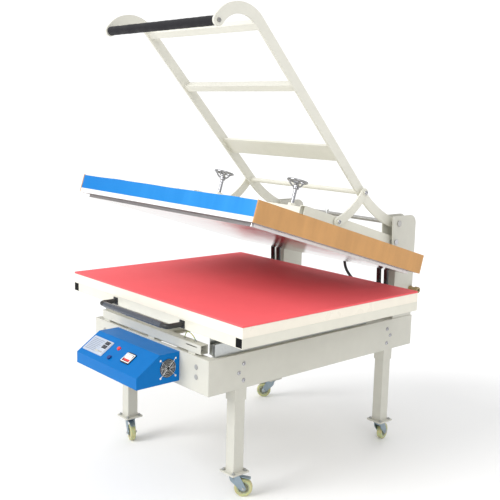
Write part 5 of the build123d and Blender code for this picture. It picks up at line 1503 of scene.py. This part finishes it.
class HEATPRESS_OT_wiring(bpy.types.Operator):
    """Earth wire, the cable gland's knurled nut and the heater's cable"""

    bl_idname = "heatpress.wiring"
    bl_label = "Wiring"

    def execute(self, context):
        beam = span("front_cross_beam")
        top = beam[1].z
        y = (beam[0].y + beam[1].y) / 2
        wire = Piece()
        start = (0.232, y, top + 0.004)
        loop = [start, (0.240, y - 0.002, top + 0.020), (0.256, y - 0.004, top + 0.034)]
        loop += [
            (0.276, y - 0.002, top + 0.030), (0.288, y + 0.004, top + 0.016),
            (0.296, y + 0.006, top + 0.004),
        ]
        wire.wire(loop, 0.0017, smooth=True, sides=4)
        lug = [(0.006, 0), (0.006, 0.0012), (0.0025, 0.0014), (0.0025, 0.006), (0, 0.006)]
        for spot in ((0.232, y, top), (0.296, y + 0.006, top)):
            wire.turned(lug, Matrix.Translation(spot), 20, 1)
        wire.finish("earth_wire", ["earth wire", "screw zinc"], "base", "gland_brass")

        low, high = span("cable_gland")
        centre = (low + high) / 2
        ribs = Piece()
        for step in range(24):
            turn = facing((high.x - 0.019, centre.y, centre.z), (1, 0, 0))
            turn = turn @ Matrix.Rotation(step * math.pi / 12, 4, "Z")
            ribs.block((0.0136, -0.0007, 0), (0.0148, 0.0007, 0.018), turn, 0.0003, 1)
        ribs.finish("gland_ribs", ["aged brass"], "base", "gland_brass")

        radius = context.scene.press_sizes.cable_radius
        cover = span("heater_cover", LIFT)
        top_flange = span("base_end_plates")[1]
        root = Vector((0.120, top_flange.y - 0.018, top_flange.z))
        # low on the rear wall, which slides down past this end as the pressure screws turn
        tip = LIFT @ Vector((0.112, cover[1].y - 0.004, cover[0].z + 0.015))
        out = LIFT.to_3x3() @ Vector((0, 1, 0))
        lean = math.atan2(-out.z, out.y)
        bend = radius * 9
        leave = tip + out * 0.010
        fall = [tip, leave]
        for step in range(1, 7):
            angle = lean + (math.pi / 2 - lean) * step / 6
            turned = (0, math.sin(angle) - math.sin(lean), math.cos(angle) - math.cos(lean))
            fall.append(leave + Vector(turned) * bend)
        foot = root + Vector((0, 0, 0.025))
        for step in range(1, 7):
            part = step / 7
            ease = (1 - math.cos(math.pi * part)) / 2
            point = fall[7].lerp(foot, ease)
            point.z = fall[7].z + (foot.z - fall[7].z) * part
            fall.append(point)
        path = [root, foot] + fall[:1:-1] + [leave, tip]
        cable = Piece()
        cable.wire(path, radius, smooth=True, sides=5)
        collar = [(radius * 1.9, 0), (radius * 1.9, 0.006), (radius * 1.5, 0.007), (radius * 1.4, 0.016)]
        collar += [(radius, 0.017), (radius, 0)]
        cable.turned(collar, Matrix.Translation(root), steps=24)
        cable = cable.finish("heater_cable", ["black sheath"], None, "black_plastic")
        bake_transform(cable)
        return {"FINISHED"}


class HEATPRESS_OT_stage(bpy.types.Operator):
    """Pale floor, soft lights and the camera"""

    bl_idname = "heatpress.stage"
    bl_label = "Stage"

    def execute(self, context):
        settings = context.scene.press_stage
        scene = context.scene
        bm = bmesh.new()
        bmesh.ops.create_grid(bm, x_segments=1, y_segments=1, size=settings.floor_size)
        mesh = bpy.data.meshes.new("floor")
        bm.to_mesh(mesh)
        bm.free()
        finish = Finish("studio floor", Specular_IOR_Level=0.2)
        cloud = finish.graph.noise(finish.place, 0.4, 2.0)
        colour = settings.floor_colour
        finish.link(finish.graph.mix(cloud, shade(colour, 0.99), shade(colour, 1.01)), "Base Color")
        finish.shader.inputs["Roughness"].default_value = 0.75
        mesh.materials.append(finish.material)
        floor = bpy.data.objects.new("floor", mesh)
        scene.collection.objects.link(floor)

        world = bpy.data.worlds.new("studio")
        world.use_nodes = True
        scene.world = world
        graph = Graph(world.node_tree)
        background = world.node_tree.nodes["Background"]
        background.inputs["Strength"].default_value = settings.sky
        direction = graph.add("ShaderNodeTexCoord").outputs["Generated"]
        rise = graph.add("ShaderNodeSeparateXYZ", {0: direction}).outputs["Z"]
        soft = graph.mix(graph.range(rise, 0.05, 0.6), (0.42, 0.43, 0.45, 1), (1.0, 1.0, 1.0, 1))
        seen = graph.add("ShaderNodeLightPath").outputs["Is Camera Ray"]
        world.node_tree.links.new(graph.mix(seen, soft, (1.3, 1.3, 1.3, 1)), background.inputs["Color"])

        for name, direction, strength in (
            ("key", (-0.30, -0.95, 0.62), settings.key),
            ("fill", (0.95, -0.55, 0.60), settings.fill),
            ("rear", (-0.4, 0.9, 0.8), settings.fill * 0.4),
        ):
            light = bpy.data.lights.new(name, "SUN")
            light.angle = settings.softness
            light.energy = strength
            lamp = bpy.data.objects.new(name, light)
            lamp.matrix_world = facing(Vector(direction) * 4, direction)
            scene.collection.objects.link(lamp)

        around, rise, roll = (math.radians(angle) for angle in (46.9, 8.9, 1.8))
        back = Vector((math.sin(around) * math.cos(rise), -math.cos(around) * math.cos(rise), math.sin(rise)))
        right = Vector((math.cos(around), math.sin(around), 0))
        up = back.cross(right)
        lens_data = bpy.data.cameras.new("camera")
        lens_data.lens = 57.88
        lens_data.sensor_width = 36.0
        lens_data.shift_x = -0.061
        lens_data.shift_y = -0.0158
        lens_data.clip_end = 200.0
        camera = bpy.data.objects.new("camera", lens_data)
        turned_right = right * math.cos(roll) + up * math.sin(roll)
        turned_up = up * math.cos(roll) - right * math.sin(roll)
        camera.matrix_world = axes_at((2.7394, -2.3386, 1.5296), turned_right, turned_up, back)
        scene.collection.objects.link(camera)
        scene.camera = camera
        scene.view_settings.view_transform = "Standard"
        return {"FINISHED"}


STEPS = (
    "finishes", "pad", "castors", "handwheels", "grip", "drawer_handle", "bolts", "controls", "fan",
    "cover", "welds", "wiring", "stage",
)


class HEATPRESS_PT_panel(bpy.types.Panel):
    """Lists the steps and settings"""

    bl_label = "Heat press"
    bl_idname = "HEATPRESS_PT_panel"
    bl_space_type = "VIEW_3D"
    bl_region_type = "UI"
    bl_category = "Heat press"

    def draw(self, context):
        for group in (context.scene.press_colours, context.scene.press_sizes, context.scene.press_stage):
            box = self.layout.box()
            for key in group.bl_rna.properties.keys():
                if key not in {"rna_type", "name"}:
                    box.prop(group, key)
        for step in STEPS:
            self.layout.operator(f"heatpress.{step}")


CLASSES = (
    PressColours,
    PressSizes,
    StageSettings,
    HEATPRESS_OT_finishes,
    HEATPRESS_OT_pad,
    HEATPRESS_OT_castors,
    HEATPRESS_OT_handwheels,
    HEATPRESS_OT_grip,
    HEATPRESS_OT_drawer_handle,
    HEATPRESS_OT_bolts,
    HEATPRESS_OT_controls,
    HEATPRESS_OT_fan,
    HEATPRESS_OT_cover,
    HEATPRESS_OT_welds,
    HEATPRESS_OT_wiring,
    HEATPRESS_OT_stage,
    HEATPRESS_PT_panel,
)


def register():
    for item in CLASSES:
        bpy.utils.register_class(item)
    bpy.types.Scene.press_colours = PointerProperty(type=PressColours)
    bpy.types.Scene.press_sizes = PointerProperty(type=PressSizes)
    bpy.types.Scene.press_stage = PointerProperty(type=StageSettings)


def unregister():
    del bpy.types.Scene.press_stage
    del bpy.types.Scene.press_sizes
    del bpy.types.Scene.press_colours
    for item in reversed(CLASSES):
        bpy.utils.unregister_class(item)


def main():
    register()
    for step in STEPS:
        getattr(bpy.ops.heatpress, step)()


if __name__ == "__main__":
    main()
